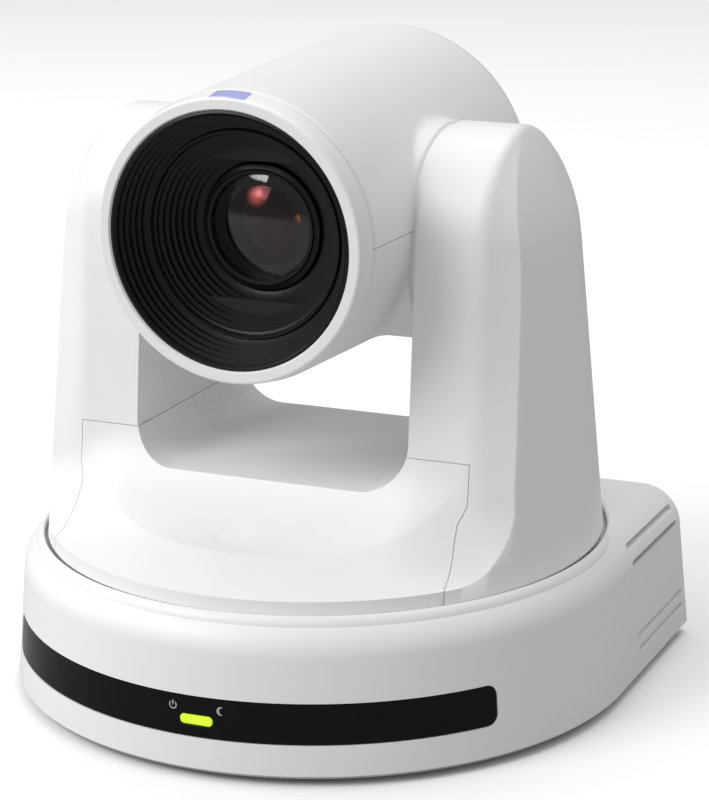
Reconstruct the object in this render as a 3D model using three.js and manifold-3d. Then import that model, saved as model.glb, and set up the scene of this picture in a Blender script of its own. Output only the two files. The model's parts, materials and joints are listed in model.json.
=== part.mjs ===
// Indoor pan-tilt-zoom camera: D-shaped base, turntable yoke with two arms, and a
// round camera head that tilts between them. Millimetres, +Z up, the lens looks
// along -Y. The origin is on the pan axis, in the plane of the base's underside.
import * as THREE from 'three';
import { mergeVertices } from 'three/addons/utils/BufferGeometryUtils.js';
import Module from 'manifold-3d';

const wasm = await Module();
wasm.setup();

// ---------------------------------------------------------------- driving sizes
const WALL = 2;                    // moulded shell thickness
const GAP = 0.3;                   // clearance between pieces that touch
const RUNNING_GAP = 1.2;           // clearance between the head and the arms

// base
const BASE_RADIUS = 78;            // half width at the underside, and the round front
const BASE_HEIGHT = 37;
const BASE_DRAFT = 0.09;           // inward lean of the side wall, mm per mm
const BASE_REAR = 54;              // rear wall, behind the pan axis
const SHOULDER_RADIUS = 10;        // rounding between the side wall and the deck
const COLLAR_WIDTH = 3;            // deck ring outside the turntable, past the rear wall
const COLLAR_DEPTH = 10;
const RECESS_DEPTH = 3;            // turntable recess in the deck
const DECK_THICKNESS = 2;
const PLATE_THICKNESS = 1.5;       // sheet metal bottom plate
const SEAT_HALF_WIDTH = 46;        // bracket seat between the feet, set off by a groove
const SEAT_FRONT = -38;
const SEAT_REAR = 26;
const SEAT_GROOVE = 1.5;
const SEAT_GROOVE_DEPTH = 0.5;
const FOOT_RADIUS = 6;
const FOOT_HEIGHT = 1.5;

// front window
const WINDOW_LOW = 8.3;
const WINDOW_HIGH = 17.6;
const WINDOW_HALF_ANGLE = 55;      // degrees each side of the front
const WINDOW_THICKNESS = 1.6;
const WINDOW_CORNER = 2.5;
const LED_WIDTH = 8;
const LED_HEIGHT = 2.2;
const LED_X = 2.4;
const LED_Z = 12.1;
const RECEIVER_INSET = 9.5;        // receiver's body behind the window

// side vents
const VENT_HEIGHTS = [6.5, 10, 28.5, 32.5];
const VENT_FRONT = 8;
const VENT_LENGTH = 37;
const VENT_SLOT = 1.6;

// connector panel
const PANEL_HALF_WIDTH = 62;
const PANEL_LOW = 3;
const PANEL_HEIGHT = 23;
const PANEL_THICKNESS = 1.5;
const BOARD_LEVEL = 5;
const BOARD_THICKNESS = 1.6;
const BOARD_HALF_WIDTH = 56;
const BOARD_FRONT = -4;
const LAN_X = -42;
const SDI_X = -22;
const HDMI_X = -3;
const SERIAL_X = 17;
const DC_X = 36;
const RESET_X = 50;
const RESET_TRAVEL = 0.8;

// pan drive
const HUB_RADIUS = 16;
const HUB_BORE = 11;
const HUB_LENGTH = 16;
const TURNTABLE_MARGIN = 5;        // turntable plate's edge inside the covers
const BEARING_WIDTH = 3.5;
const RACE_THICKNESS = 3.5;
const PAN_PULLEY_RADIUS = 28;
const MOTOR_PULLEY_RADIUS = 7;
const PULLEY_WIDTH = 5.5;
const BELT_THICKNESS = 1.2;
const BELT_WIDTH = 4;
const PAN_MOTOR_RADIUS = 17.5;
const PAN_MOTOR_X = -38;
const PAN_MOTOR_Y = -24;
const PAN_MOTOR_HEIGHT = 18;
const MOTOR_SHAFT_RADIUS = 2.5;

// fan
const FAN_SIZE = 27;
const FAN_DEPTH = 8;
const FAN_X = 61;
const FAN_Y = 24;
const FAN_BLADES = 7;

// yoke, heights above the turntable's underside
const TURNTABLE_RADIUS = 69.2;
const TURNTABLE_LIFT = 1.7;        // turntable's underside above the recess floor
const YOKE_TAPER = 0.082;          // inward lean of the round side, mm per mm
const TILT_RISE = 76.5;            // tilt axis
const TILT_SETBACK = 1;            // tilt axis behind the pan axis
const ARM_GAP = 36;                // half of the gap between the arms
const ARM_TOP_RADIUS = 26.3;       // rounding of the arm tops about the tilt axis
const ARM_LEAN = 0.115;            // forward lean of the arm fronts going down
const ARM_CROWN_INSET = 17.2;      // the bevel of the arm's top begins inside the round side
const FACET_CROWN_INSET = 17.2;    // corners of the flat facets on the arms, from the side
const FACET_OUTER_INSET = 8.2;
const FACET_FOOT_INSET = 6.7;
const ARM_BEVEL_DROP = 10.5;
const SADDLE_RISE = 20.8;
const SADDLE_FILLET = 11;
const BAND_RISE = 3.6;             // upright band round the turntable
const LIP_SLOPE = 0.4;
const LIP_WIDTH = 14.5;
const SEAM_RISE = 29.3;            // seam between the saddle covers and the arms
const SEAM_INSET = 18.2;           // outer edge of the seam inside the round side
const SEAM_NOTCH = 1.7;             // step of the seam above the apron
const SADDLE_SEAM_Y = -2.5;

// tilt drive, in the arms
const UPRIGHT_OFFSET = 8;          // uprights of the frame outside the arm's inner face
const FRAME_THICKNESS = 1.5;
const FRAME_HALF_DEPTH = 14;
const TILT_PULLEY_RADIUS = 14;
const TILT_MOTOR_PULLEY_RADIUS = 5;
const TILT_MOTOR_RADIUS = 14;
const TILT_MOTOR_CLEARANCE = 2;    // between the motor's end and the cover's wall
const TILT_MOTOR_DROP = 38;
const TILT_PULLEY_WIDTH = 4.5;
const TRUNNION_RADIUS = 5;
const TRUNNION_LENGTH = 14;
const HARNESS_END = 8;             // tilt cable's end inside the arm's outer wall
const TILT_RACE_RADIUS = 9;

// head, about the tilt axis
const LENS_RISE = 5;               // lens axis above the tilt axis
const HEAD_FRONT = 45.4;           // shells' front end, ahead of the tilt axis
const HEAD_REAR = 50;
const HEAD_FRONT_RADIUS = 33.9;
const HEAD_REAR_RADIUS = 37.4;
const HEAD_REAR_ROUNDING = 8;
const HEAD_SWING_RADIUS = 54.3;    // furthest reach of the head's lower rear
const RING_LENGTH = 5.4;
const RING_FRONT_RADIUS = 32.8;
const HOOD_MOUTH_RADIUS = 30;
const HOOD_STEP_RADIUS = 24;
const HOOD_STEP_DEPTH = 9;
const HOOD_DEPTH = 20;
const FRONT_LENS_RADIUS = 13;
const BARREL_RADIUS = 20;
const BARREL_WALL = 2.5;
const BARREL_LENGTH = 44;
const ZOOM_TRAVEL = 12;
const FOCUS_TRAVEL = 3;
const LENS_MOTOR_RADIUS = 4;
const TALLY_LENGTH = 9;
const TALLY_WIDTH = 10;

// ---------------------------------------------------------------- worked-out sizes
const DECK_FLOOR = BASE_HEIGHT - RECESS_DEPTH;
const DECK_UNDERSIDE = DECK_FLOOR - DECK_THICKNESS;
const YOKE_LEVEL = DECK_FLOOR + TURNTABLE_LIFT;
const RECESS_RADIUS = TURNTABLE_RADIUS + 0.9;
const COLLAR_RADIUS = TURNTABLE_RADIUS + COLLAR_WIDTH;
const RACE_OUTER_RADIUS = HUB_RADIUS + GAP + 2 * RACE_THICKNESS + GAP;
const DECK_HOLE = RACE_OUTER_RADIUS + GAP;
const PAN_PULLEY_LEVEL = DECK_UNDERSIDE - 2.3 - PULLEY_WIDTH;
const PANEL_HIGH = PANEL_LOW + PANEL_HEIGHT;
const BOARD_TOP = BOARD_LEVEL + BOARD_THICKNESS;
const JACK_FRONT = BASE_REAR - 14;
const ARM_TOP_RISE = TILT_RISE + ARM_TOP_RADIUS;
const HEAD_HALF_WIDTH = ARM_GAP - RUNNING_GAP;
const UPRIGHT_X = ARM_GAP + UPRIGHT_OFFSET;
const CREASE_RADIUS = TURNTABLE_RADIUS - LIP_WIDTH;
const ARM_CROWN_RADIUS = TURNTABLE_RADIUS - ARM_CROWN_INSET;
const SEAM_HALF_WIDTH = TURNTABLE_RADIUS - SEAM_INSET;
const CREASE_RISE = BAND_RISE + LIP_SLOPE * LIP_WIDTH;
// facets round a circle
const FINE = 40;
const MEDIUM = 24;
const COARSE = 12;
const TALL = 300;                  // longer than anything that it cuts

// ---------------------------------------------------------------- finishes
const finish = (color, roughness, metalness = 0) =>
  new THREE.MeshStandardMaterial({ color, roughness, metalness });
const WHITE = finish(0xf0f0ee, 0.45);
const RING_WHITE = finish(0xf6f6f4, 0.35);
const BLACK_GLOSS = finish(0x0a0a0c, 0.12);
const BLACK_MATTE = finish(0x121214, 0.7);
const GLASS = finish(0x20242c, 0.05);
const LED_GREEN = finish(0xc8f020, 0.4);
const LAVENDER = finish(0xaaaad7, 0.4);
const RUBBER = finish(0x202020, 0.9);
const STEEL = finish(0xb8bbc0, 0.35, 0.9);
const BRASS = finish(0xc8a860, 0.35, 0.9);
const BOARD_GREEN = finish(0x1d5a38, 0.5);
const GREY_PLASTIC = finish(0x8a8c90, 0.5);
const BELT_BLACK = finish(0x1a1a1a, 0.85);

// ---------------------------------------------------------------- solid helpers
function solid(geometry) {
  const bare = geometry.clone();
  bare.deleteAttribute('normal');
  bare.deleteAttribute('uv');
  const merged = mergeVertices(bare, 1e-4);
  const index = merged.index.array;
  const triangles = [];
  for (let i = 0; i < index.length; i += 3) {
    const [a, b, c] = [index[i], index[i + 1], index[i + 2]];
    if (a !== b && b !== c && c !== a) triangles.push(a, b, c);
  }
  const make = (verts) => new wasm.Manifold(new wasm.Mesh({
    numProp: 3,
    vertProperties: new Float32Array(merged.attributes.position.array),
    triVerts: new Uint32Array(verts),
  }));
  const first = make(triangles);
  if (first.volume() > 0) return first;
  for (let i = 0; i < triangles.length; i += 3) {
    [triangles[i], triangles[i + 1]] = [triangles[i + 1], triangles[i]];
  }
  return make(triangles);
}

function toGeometry(manifold) {
  const mesh = manifold.getMesh();
  const geometry = new THREE.BufferGeometry();
  geometry.setAttribute('position', new THREE.BufferAttribute(mesh.vertProperties, 3));
  geometry.setIndex(new THREE.BufferAttribute(mesh.triVerts, 1));
  geometry.computeVertexNormals();
  return geometry;
}

const basis = (x, y, z) => new THREE.Matrix4().makeBasis(
  new THREE.Vector3(...x), new THREE.Vector3(...y), new THREE.Vector3(...z));
const ALONG_X = basis([0, 1, 0], [0, 0, 1], [1, 0, 0]);
const ALONG_Y = basis([1, 0, 0], [0, 0, 1], [0, -1, 0]);

// outline: a THREE.Shape or a list of [u, v] corners
const toShape = (outline) => (Array.isArray(outline)
  ? new THREE.Shape(outline.map(([u, v]) => new THREE.Vector2(u, v))) : outline);

function prism(outline, depth, steps) {
  return new THREE.ExtrudeGeometry(toShape(outline), {
    depth, bevelEnabled: false, curveSegments: steps,
  });
}
// outline in (y, z), from x0 to x1
const prismX = (outline, x0, x1, steps = 10) =>
  solid(prism(outline, x1 - x0, steps).applyMatrix4(ALONG_X).translate(x0, 0, 0));
// outline in (x, z), from y0 to y1
const prismY = (outline, y0, y1, steps = 10) =>
  solid(prism(outline, y1 - y0, steps).applyMatrix4(ALONG_Y).translate(0, y1, 0));
// outline in (x, y), from z0 to z1
const prismZ = (outline, z0, z1, steps = 10) =>
  solid(prism(outline, z1 - z0, steps).translate(0, 0, z0));

function box(x0, x1, y0, y1, z0, z1) {
  const geometry = new THREE.BoxGeometry(x1 - x0, y1 - y0, z1 - z0);
  return solid(geometry.translate((x0 + x1) / 2, (y0 + y1) / 2, (z0 + z1) / 2));
}

// profile: [radius, height] corners of a closed section; turned about the Z axis
function turned(profile, segments = COARSE) {
  const closed = [...profile, profile[0]].map(([r, h]) => new THREE.Vector2(r, h));
  return solid(new THREE.LatheGeometry(closed, segments).rotateX(Math.PI / 2));
}
// the same, turned about the Y axis through x = 0, z = level; heights run along +Y
const turnedY = (profile, level, segments = COARSE) =>
  turned(profile, segments).rotate([-90, 0, 0]).translate([0, 0, level]);
const turnedX = (profile, y, z, segments = COARSE) =>
  turned(profile, segments).rotate([0, 90, 0]).translate([0, y, z]);
const rod = (radius, low, high) => [[0, low], [radius, low], [radius, high], [0, high]];
const tube = (inner, outer, low, high) =>
  [[inner, low], [outer, low], [outer, high], [inner, high]];

function arcPoints(cx, cy, radius, from, to, steps) {
  const points = [];
  for (let i = 0; i <= steps; i += 1) {
    const angle = THREE.MathUtils.degToRad(from + (to - from) * i / steps);
    points.push([cx + radius * Math.cos(angle), cy + radius * Math.sin(angle)]);
  }
  return points;
}

function roundedRect(x0, x1, y0, y1, radius, steps = 4) {
  return [
    ...arcPoints(x1 - radius, y1 - radius, radius, 0, 90, steps),
    ...arcPoints(x0 + radius, y1 - radius, radius, 90, 180, steps),
    ...arcPoints(x0 + radius, y0 + radius, radius, 180, 270, steps),
    ...arcPoints(x1 - radius, y0 + radius, radius, 270, 360, steps),
  ];
}

const union = (...solids) => solids.reduce((sum, next) => sum.add(next));
const cut = (body, ...tools) => tools.reduce((rest, tool) => rest.subtract(tool), body);

// everything on the outer side of a plane through a point
function beyondPlane(point, normal) {
  const geometry = new THREE.BoxGeometry(2 * TALL, 2 * TALL, TALL);
  geometry.translate(0, 0, TALL / 2);
  const turn = new THREE.Quaternion().setFromUnitVectors(
    new THREE.Vector3(0, 0, 1), normal.clone().normalize());
  geometry.applyQuaternion(turn).translate(point.x, point.y, point.z);
  return solid(geometry);
}

// ---------------------------------------------------------------- scene groups
const camera = new THREE.Group();
const base = new THREE.Group();
const yoke = new THREE.Group();
const head = new THREE.Group();
yoke.position.set(0, 0, YOKE_LEVEL);
head.position.set(0, TILT_SETBACK, TILT_RISE);
camera.add(base, yoke);
yoke.add(head);

function piece(group, name, shape, material) {
  const mesh = new THREE.Mesh(toGeometry(shape), material);
  mesh.name = name;
  group.add(mesh);
}

// ---------------------------------------------------------------- base shell
const wallRadius = (z) => BASE_RADIUS - BASE_DRAFT * z;

// D-shaped block with a round shoulder: round in front, straight sides to the rear
function baseForm(inset, bottom, rear) {
  const shoulderZ = BASE_HEIGHT - SHOULDER_RADIUS;
  const centre = wallRadius(shoulderZ) - SHOULDER_RADIUS;
  const side = [
    [wallRadius(bottom) - inset, bottom],
    ...arcPoints(centre, shoulderZ, SHOULDER_RADIUS - inset, 0, 90, 5),
  ];
  const round = turned([[0, bottom], ...side, [0, BASE_HEIGHT - inset]], FINE)
    .intersect(box(-TALL, TALL, -TALL, 0.01, -TALL, TALL));
  const mirrored = [...side].reverse().map(([x, z]) => [-x, z]);
  return union(round, prismY([...side, ...mirrored], 0, rear));
}

function collarForm(inset, low) {
  const radius = COLLAR_RADIUS - inset;
  const corner = 3 - inset / 2;
  const top = BASE_HEIGHT - inset;
  return turned([
    [0, low], [radius, low],
    ...arcPoints(radius - corner, top - corner, corner, 0, 90, 3),
    [0, top],
  ], FINE);
}

// ring of the base's front wall between two depths, with rounded ends
function windowForm(front, back, grow) {
  const [low, high] = [WINDOW_LOW - grow, WINDOW_HIGH + grow];
  const ring = turned([
    [wallRadius(low) - back, low], [wallRadius(low) - front, low],
    [wallRadius(high) - front, high], [wallRadius(high) - back, high],
  ], FINE);
  const corner = WINDOW_CORNER + grow;
  const endCut = [
    [-corner, low - 5], [TALL / 3, low - 5], [TALL / 3, high + 5], [-corner, high + 5],
    ...arcPoints(-corner, high - corner, corner, 90, 0, 4),
    ...arcPoints(-corner, low + corner, corner, 0, -90, 4),
  ];
  const radius = wallRadius((WINDOW_LOW + WINDOW_HIGH) / 2);
  const rightEnd = prismY(endCut.map(([u, v]) => [u + grow, v]), -radius - 5, -radius + 12)
    .rotate([0, 0, WINDOW_HALF_ANGLE]);
  const leftEnd = rightEnd.mirror([1, 0, 0]);
  const behind = box(-TALL, TALL, -20, TALL, -TALL, TALL);
  return cut(ring, rightEnd, leftEnd, behind);
}

const screwSpots = [[-52, -46], [52, -46], [-64, 44], [64, 44]];
const footSpots = [[-58, -34], [58, -34], [-66, 32], [66, 32]];

function makeBaseCover() {
  const outer = union(baseForm(0, 0, BASE_REAR), collarForm(0, BASE_HEIGHT - COLLAR_DEPTH));
  const underDeck = turned(rod(RECESS_RADIUS + WALL, DECK_UNDERSIDE, TALL), FINE);
  const hollow = cut(baseForm(WALL, -1, BASE_REAR - WALL), underDeck);
  const collarHollow = turned(rod(COLLAR_RADIUS - WALL,
    BASE_HEIGHT - COLLAR_DEPTH + WALL, DECK_UNDERSIDE), FINE);
  let shell = cut(outer, hollow, collarHollow);
  shell = cut(shell, turned(rod(RECESS_RADIUS, DECK_FLOOR, TALL), FINE));
  for (const [x, y] of screwSpots) {
    const ceiling = Math.hypot(x, y) > RECESS_RADIUS ? BASE_HEIGHT : DECK_FLOOR;
    shell = union(shell, turned(rod(3.4, PLATE_THICKNESS + 1, ceiling - 1), 12)
      .translate([x, y, 0]));
  }
  for (const [x, y] of screwSpots) {
    shell = cut(shell, turned(rod(1.7, 0, 12), 10).translate([x, y, 0]));
  }
  const slots = VENT_HEIGHTS.flatMap((z) => [-1, 1].map((side) => {
    const inner = side * (COLLAR_RADIUS - 2);
    const outerX = side * (BASE_RADIUS + 5);
    return box(Math.min(inner, outerX), Math.max(inner, outerX),
      VENT_FRONT, VENT_FRONT + VENT_LENGTH, z - VENT_SLOT / 2, z + VENT_SLOT / 2);
  }));
  const panelHole = prismY(roundedRect(-PANEL_HALF_WIDTH - GAP, PANEL_HALF_WIDTH + GAP,
    PANEL_LOW - GAP, PANEL_HIGH + GAP, 2), BASE_REAR - WALL - 1, BASE_REAR + 1);
  return cut(shell, turned(rod(DECK_HOLE, 0, TALL), MEDIUM), ...slots, panelHole,
    windowForm(-1, WALL + 1, GAP));
}
piece(base, 'base_cover', makeBaseCover(), WHITE);

const tripodY = -22;
function makeBottomPlate() {
  let plate = baseForm(WALL + GAP, 0, BASE_REAR - WALL - GAP)
    .intersect(box(-TALL, TALL, -TALL, TALL, 0, PLATE_THICKNESS));
  const spots = [...screwSpots, ...footSpots];
  for (const [x, y] of spots) {
    plate = cut(plate, turned(rod(2, -1, PLATE_THICKNESS + 1), 10).translate([x, y, 0]));
  }
  const seat = (grow) => box(-SEAT_HALF_WIDTH - grow, SEAT_HALF_WIDTH + grow,
    SEAT_FRONT - grow, SEAT_REAR + grow, -1, SEAT_GROOVE_DEPTH);
  plate = cut(plate, cut(seat(SEAT_GROOVE), seat(0)));
  return cut(plate, turned(rod(6 + GAP, -1, TALL)).translate([0, tripodY, 0]));
}
piece(base, 'bottom_plate', makeBottomPlate(), STEEL);

piece(base, 'tripod_insert', turned([[3.2, 0], [6, 0], [6, 1.8], [7.5, 1.8], [7.5, 3.6],
  [5, 3.6], [5, 9], [3.2, 9]]).translate([0, tripodY, 0]), BRASS);

footSpots.forEach(([x, y], i) => {
  const foot = turned([[0, -FOOT_HEIGHT - GAP], [FOOT_RADIUS - 1, -FOOT_HEIGHT - GAP],
    [FOOT_RADIUS, -FOOT_HEIGHT], [FOOT_RADIUS, -GAP], [1.7, -GAP],
    [1.7, PLATE_THICKNESS + 1], [0, PLATE_THICKNESS + 1]]);
  piece(base, `foot_${i + 1}`, foot.translate([x, y, 0]), RUBBER);
});
screwSpots.forEach(([x, y], i) => {
  const screw = turned([[0, -1.3], [2.4, -1.3], [2.9, -GAP], [1.4, -GAP], [1.4, 9], [0, 9]], 12);
  piece(base, `cover_screw_${i + 1}`, screw.translate([x, y, 0]), STEEL);
});

// ---------------------------------------------------------------- front window
const ledOutline = (grow) => roundedRect(LED_X - LED_WIDTH / 2 - grow,
  LED_X + LED_WIDTH / 2 + grow, LED_Z - LED_HEIGHT / 2 - grow, LED_Z + LED_HEIGHT / 2 + grow,
  0.8, 2);
piece(base, 'ir_window', cut(windowForm(0.1, WINDOW_THICKNESS + 0.1, 0),
  prismY(ledOutline(GAP), -BASE_RADIUS - 2, -BASE_RADIUS + 8)), BLACK_GLOSS);
piece(base, 'status_led_lens', prismY(ledOutline(0), -wallRadius(LED_Z) + 0.1,
  -wallRadius(LED_Z) + 4.5), LED_GREEN);
const receiverY = -BASE_RADIUS + RECEIVER_INSET;
piece(base, 'ir_receiver', union(
  prismY(roundedRect(-24, -17, 9.5, 16.5, 1), receiverY, receiverY + 2.5),
  turnedY([[0, receiverY - 1.7], [1.6, receiverY - 1.1], [2.3, receiverY + 0.1],
    [0, receiverY + 0.1]], 13).translate([-20.5, 0, 0]),
), BLACK_MATTE);

// ---------------------------------------------------------------- board and jacks
const jackCuts = [
  box(LAN_X - 8 - GAP, LAN_X + 8 + GAP, 0, TALL, BOARD_TOP - GAP, BOARD_TOP + 13.6 + 2 * GAP),
  box(SERIAL_X - 8 - GAP, SERIAL_X + 8 + GAP, 0, TALL, BOARD_TOP - GAP,
    BOARD_TOP + 13.6 + 2 * GAP),
  turnedY(rod(6.3 + GAP, 0, TALL), BOARD_TOP + 8).translate([SDI_X, 0, 0]),
  box(HDMI_X - 7.6 - GAP, HDMI_X + 7.6 + GAP, 0, TALL, BOARD_TOP - GAP,
    BOARD_TOP + 6.2 + 2 * GAP),
  box(DC_X - 5 - GAP, DC_X + 5 + GAP, 0, TALL, BOARD_TOP - GAP, BOARD_TOP + 11 + 2 * GAP),
  turnedY(rod(1.6 + GAP, 0, TALL), BOARD_TOP + 5, 16).translate([RESET_X, 0, 0]),
];
piece(base, 'connector_panel', cut(prismY(roundedRect(-PANEL_HALF_WIDTH, PANEL_HALF_WIDTH,
  PANEL_LOW, PANEL_HIGH, 2), BASE_REAR - PANEL_THICKNESS - 0.6, BASE_REAR - 0.6),
...jackCuts), GREY_PLASTIC);
piece(base, 'main_board', box(-BOARD_HALF_WIDTH, BOARD_HALF_WIDTH, BOARD_FRONT,
  BASE_REAR - 5, BOARD_LEVEL, BOARD_TOP), BOARD_GREEN);

const jackRear = BASE_REAR - 0.2;
const jackLow = BOARD_TOP + GAP;
function modularJack(x) {
  return cut(box(x - 8, x + 8, JACK_FRONT, jackRear, jackLow, jackLow + 13.4),
    box(x - 6, x + 6, JACK_FRONT + 3, TALL, jackLow + 2.5, jackLow + 10.5));
}
piece(base, 'lan_jack', modularJack(LAN_X), STEEL);
piece(base, 'serial_jack', modularJack(SERIAL_X), STEEL);
piece(base, 'sdi_jack', union(
  box(SDI_X - 6, SDI_X + 6, JACK_FRONT, BASE_REAR - 3.2, jackLow, jackLow + 13.4),
  cut(turnedY(rod(4.8, BASE_REAR - 4, BASE_REAR + 10), BOARD_TOP + 8),
    turnedY(rod(3.6, BASE_REAR - 2.8, TALL), BOARD_TOP + 8)).translate([SDI_X, 0, 0]),
  turnedY(rod(0.8, BASE_REAR - 4, BASE_REAR + 6), BOARD_TOP + 8, 10).translate([SDI_X, 0, 0]),
), STEEL);
piece(base, 'hdmi_jack', cut(
  box(HDMI_X - 7.6, HDMI_X + 7.6, JACK_FRONT, jackRear, jackLow, jackLow + 6),
  box(HDMI_X - 7, HDMI_X + 7, JACK_FRONT + 2, TALL, jackLow + 0.6, jackLow + 5.4)), STEEL);
piece(base, 'dc_jack', union(cut(
  box(DC_X - 5, DC_X + 5, JACK_FRONT, jackRear, jackLow, jackLow + 10.8),
  turnedY(rod(3.2, JACK_FRONT + 3, TALL), jackLow + 5.4, 16).translate([DC_X, 0, 0])),
turnedY(rod(0.9, JACK_FRONT + 2, BASE_REAR - 2), jackLow + 5.4, 10).translate([DC_X, 0, 0])),
BLACK_MATTE);
piece(base, 'reset_button', turnedY([[0, BASE_REAR - 9], [2.6, BASE_REAR - 9],
  [2.6, BASE_REAR - 3 - RESET_TRAVEL], [1.6, BASE_REAR - 3 - RESET_TRAVEL],
  [1.6, BASE_REAR - 0.4], [0, BASE_REAR - 0.4]], BOARD_TOP + 5, 16)
  .translate([RESET_X, 0, 0]), BLACK_MATTE);

// ---------------------------------------------------------------- pan drive
const motorBase = PLATE_THICKNESS + GAP;
const motorTop = motorBase + PAN_MOTOR_HEIGHT;
const atPanMotor = [PAN_MOTOR_X, PAN_MOTOR_Y, 0];
piece(base, 'pan_motor', turned([[0, motorBase], [PAN_MOTOR_RADIUS, motorBase],
  [PAN_MOTOR_RADIUS, motorTop - 2], [PAN_MOTOR_RADIUS - 1, motorTop - 1], [6, motorTop - 1],
  [6, motorTop], [MOTOR_SHAFT_RADIUS + GAP, motorTop], [MOTOR_SHAFT_RADIUS + GAP, motorTop - 4],
  [0, motorTop - 4]], MEDIUM).translate(atPanMotor), STEEL);
const pulleyProfile = (inner, radius, low) => [
  [inner, low], [radius + 1, low], [radius + 1, low + 0.6], [radius, low + 0.6],
  [radius, low + PULLEY_WIDTH - 0.6], [radius + 1, low + PULLEY_WIDTH - 0.6],
  [radius + 1, low + PULLEY_WIDTH], [inner, low + PULLEY_WIDTH]];
piece(base, 'pan_motor_pulley', union(
  turned(pulleyProfile(0, MOTOR_PULLEY_RADIUS, PAN_PULLEY_LEVEL)),
  turned(rod(MOTOR_SHAFT_RADIUS, motorTop - 3.6, PAN_PULLEY_LEVEL + 1), 16),
).translate(atPanMotor), BRASS);

// belt round two pulleys in the plane, as an outline with a hole
function beltOutline(x1, y1, r1, x2, y2, r2, thickness) {
  const loop = (grow) => {
    const [dx, dy] = [x2 - x1, y2 - y1];
    const heading = THREE.MathUtils.radToDeg(Math.atan2(dy, dx));
    const lap = THREE.MathUtils.radToDeg(Math.acos((r1 - r2) / Math.hypot(dx, dy)));
    return [
      ...arcPoints(x1, y1, r1 + grow, heading + lap, heading + 360 - lap, 18),
      ...arcPoints(x2, y2, r2 + grow, heading - lap, heading + lap, 8),
    ];
  };
  const shape = toShape(loop(thickness));
  shape.holes.push(new THREE.Path(loop(0).map(([u, v]) => new THREE.Vector2(u, v))));
  return shape;
}
const panBeltLevel = PAN_PULLEY_LEVEL + (PULLEY_WIDTH - BELT_WIDTH) / 2;
piece(base, 'pan_belt', prismZ(beltOutline(0, 0, PAN_PULLEY_RADIUS + GAP,
  PAN_MOTOR_X, PAN_MOTOR_Y, MOTOR_PULLEY_RADIUS + GAP, BELT_THICKNESS),
panBeltLevel, panBeltLevel + BELT_WIDTH), BELT_BLACK);
piece(base, 'pan_bearing_outer', turned(tube(RACE_OUTER_RADIUS - RACE_THICKNESS,
  RACE_OUTER_RADIUS, DECK_UNDERSIDE, DECK_UNDERSIDE + BEARING_WIDTH), MEDIUM), STEEL);
piece(base, 'pan_cable_harness', turned([[0, BOARD_TOP + GAP], [7, BOARD_TOP + GAP],
  [7, BOARD_TOP + 5], [5, BOARD_TOP + 6], [5, YOKE_LEVEL + 8], [0, YOKE_LEVEL + 8]]),
BLACK_MATTE);

// ---------------------------------------------------------------- fan
const fanZ = PLATE_THICKNESS + 1.2 + FAN_SIZE / 2;
const fanHole = FAN_SIZE / 2 - 1.2;
piece(base, 'fan_frame', union(cut(
  box(FAN_X - FAN_DEPTH / 2, FAN_X + FAN_DEPTH / 2, FAN_Y - FAN_SIZE / 2, FAN_Y + FAN_SIZE / 2,
    fanZ - FAN_SIZE / 2, fanZ + FAN_SIZE / 2),
  turnedX(rod(fanHole, -TALL, TALL), FAN_Y, fanZ, MEDIUM)),
turnedX(rod(5, -FAN_DEPTH / 2, -FAN_DEPTH / 2 + 1.2), FAN_Y, fanZ).translate([FAN_X, 0, 0]),
box(FAN_X - FAN_DEPTH / 2, FAN_X - FAN_DEPTH / 2 + 1.2, FAN_Y - 1.2, FAN_Y + 1.2,
  fanZ - FAN_SIZE / 2 + 0.6, fanZ + FAN_SIZE / 2 - 0.6)), BLACK_MATTE);
function makeRotor() {
  let rotor = turnedX(rod(5, -FAN_DEPTH / 2 + 1.8, FAN_DEPTH / 2 - 0.5), 0, 0);
  for (let i = 0; i < FAN_BLADES; i += 1) {
    const blade = box(-2.4, 2.4, -0.5, 0.5, 4.6, fanHole - 0.8).rotate([0, 0, 35])
      .rotate([i * 360 / FAN_BLADES, 0, 0]);
    rotor = rotor.add(blade.translate([0.6, 0, 0]));
  }
  return rotor.translate([FAN_X, FAN_Y, fanZ]);
}
piece(base, 'fan_rotor', makeRotor(), BLACK_MATTE);

// ---------------------------------------------------------------- yoke shell
const yokeRadius = (h) => TURNTABLE_RADIUS - YOKE_TAPER * h;

function sideOutline(inset) {
  const lean = THREE.MathUtils.radToDeg(Math.atan(ARM_LEAN));
  const radius = ARM_TOP_RADIUS - inset;
  const frontAt = (h) => TILT_SETBACK - radius - ARM_LEAN * (TILT_RISE - h);
  const kneeRise = SADDLE_RISE + 5.5;
  const floor = CREASE_RISE - inset;
  const foot = CREASE_RADIUS - inset;
  const back = TILT_SETBACK + radius;
  return [
    [-foot, -1], [-foot, floor], [-46 + inset, floor + 0.8], [-39.5 + inset, floor + 4.4],
    [-35 + inset, SADDLE_RISE - inset - 1], [frontAt(kneeRise), kneeRise],
    ...arcPoints(TILT_SETBACK, TILT_RISE, radius, 180 - lean, 0, 12),
    [back, kneeRise], [31 - inset, SADDLE_RISE - inset - 1], [36 - inset, floor + 4.4],
    [43 - inset, floor + 0.8], [foot, floor], [foot, -1],
  ];
}

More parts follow.
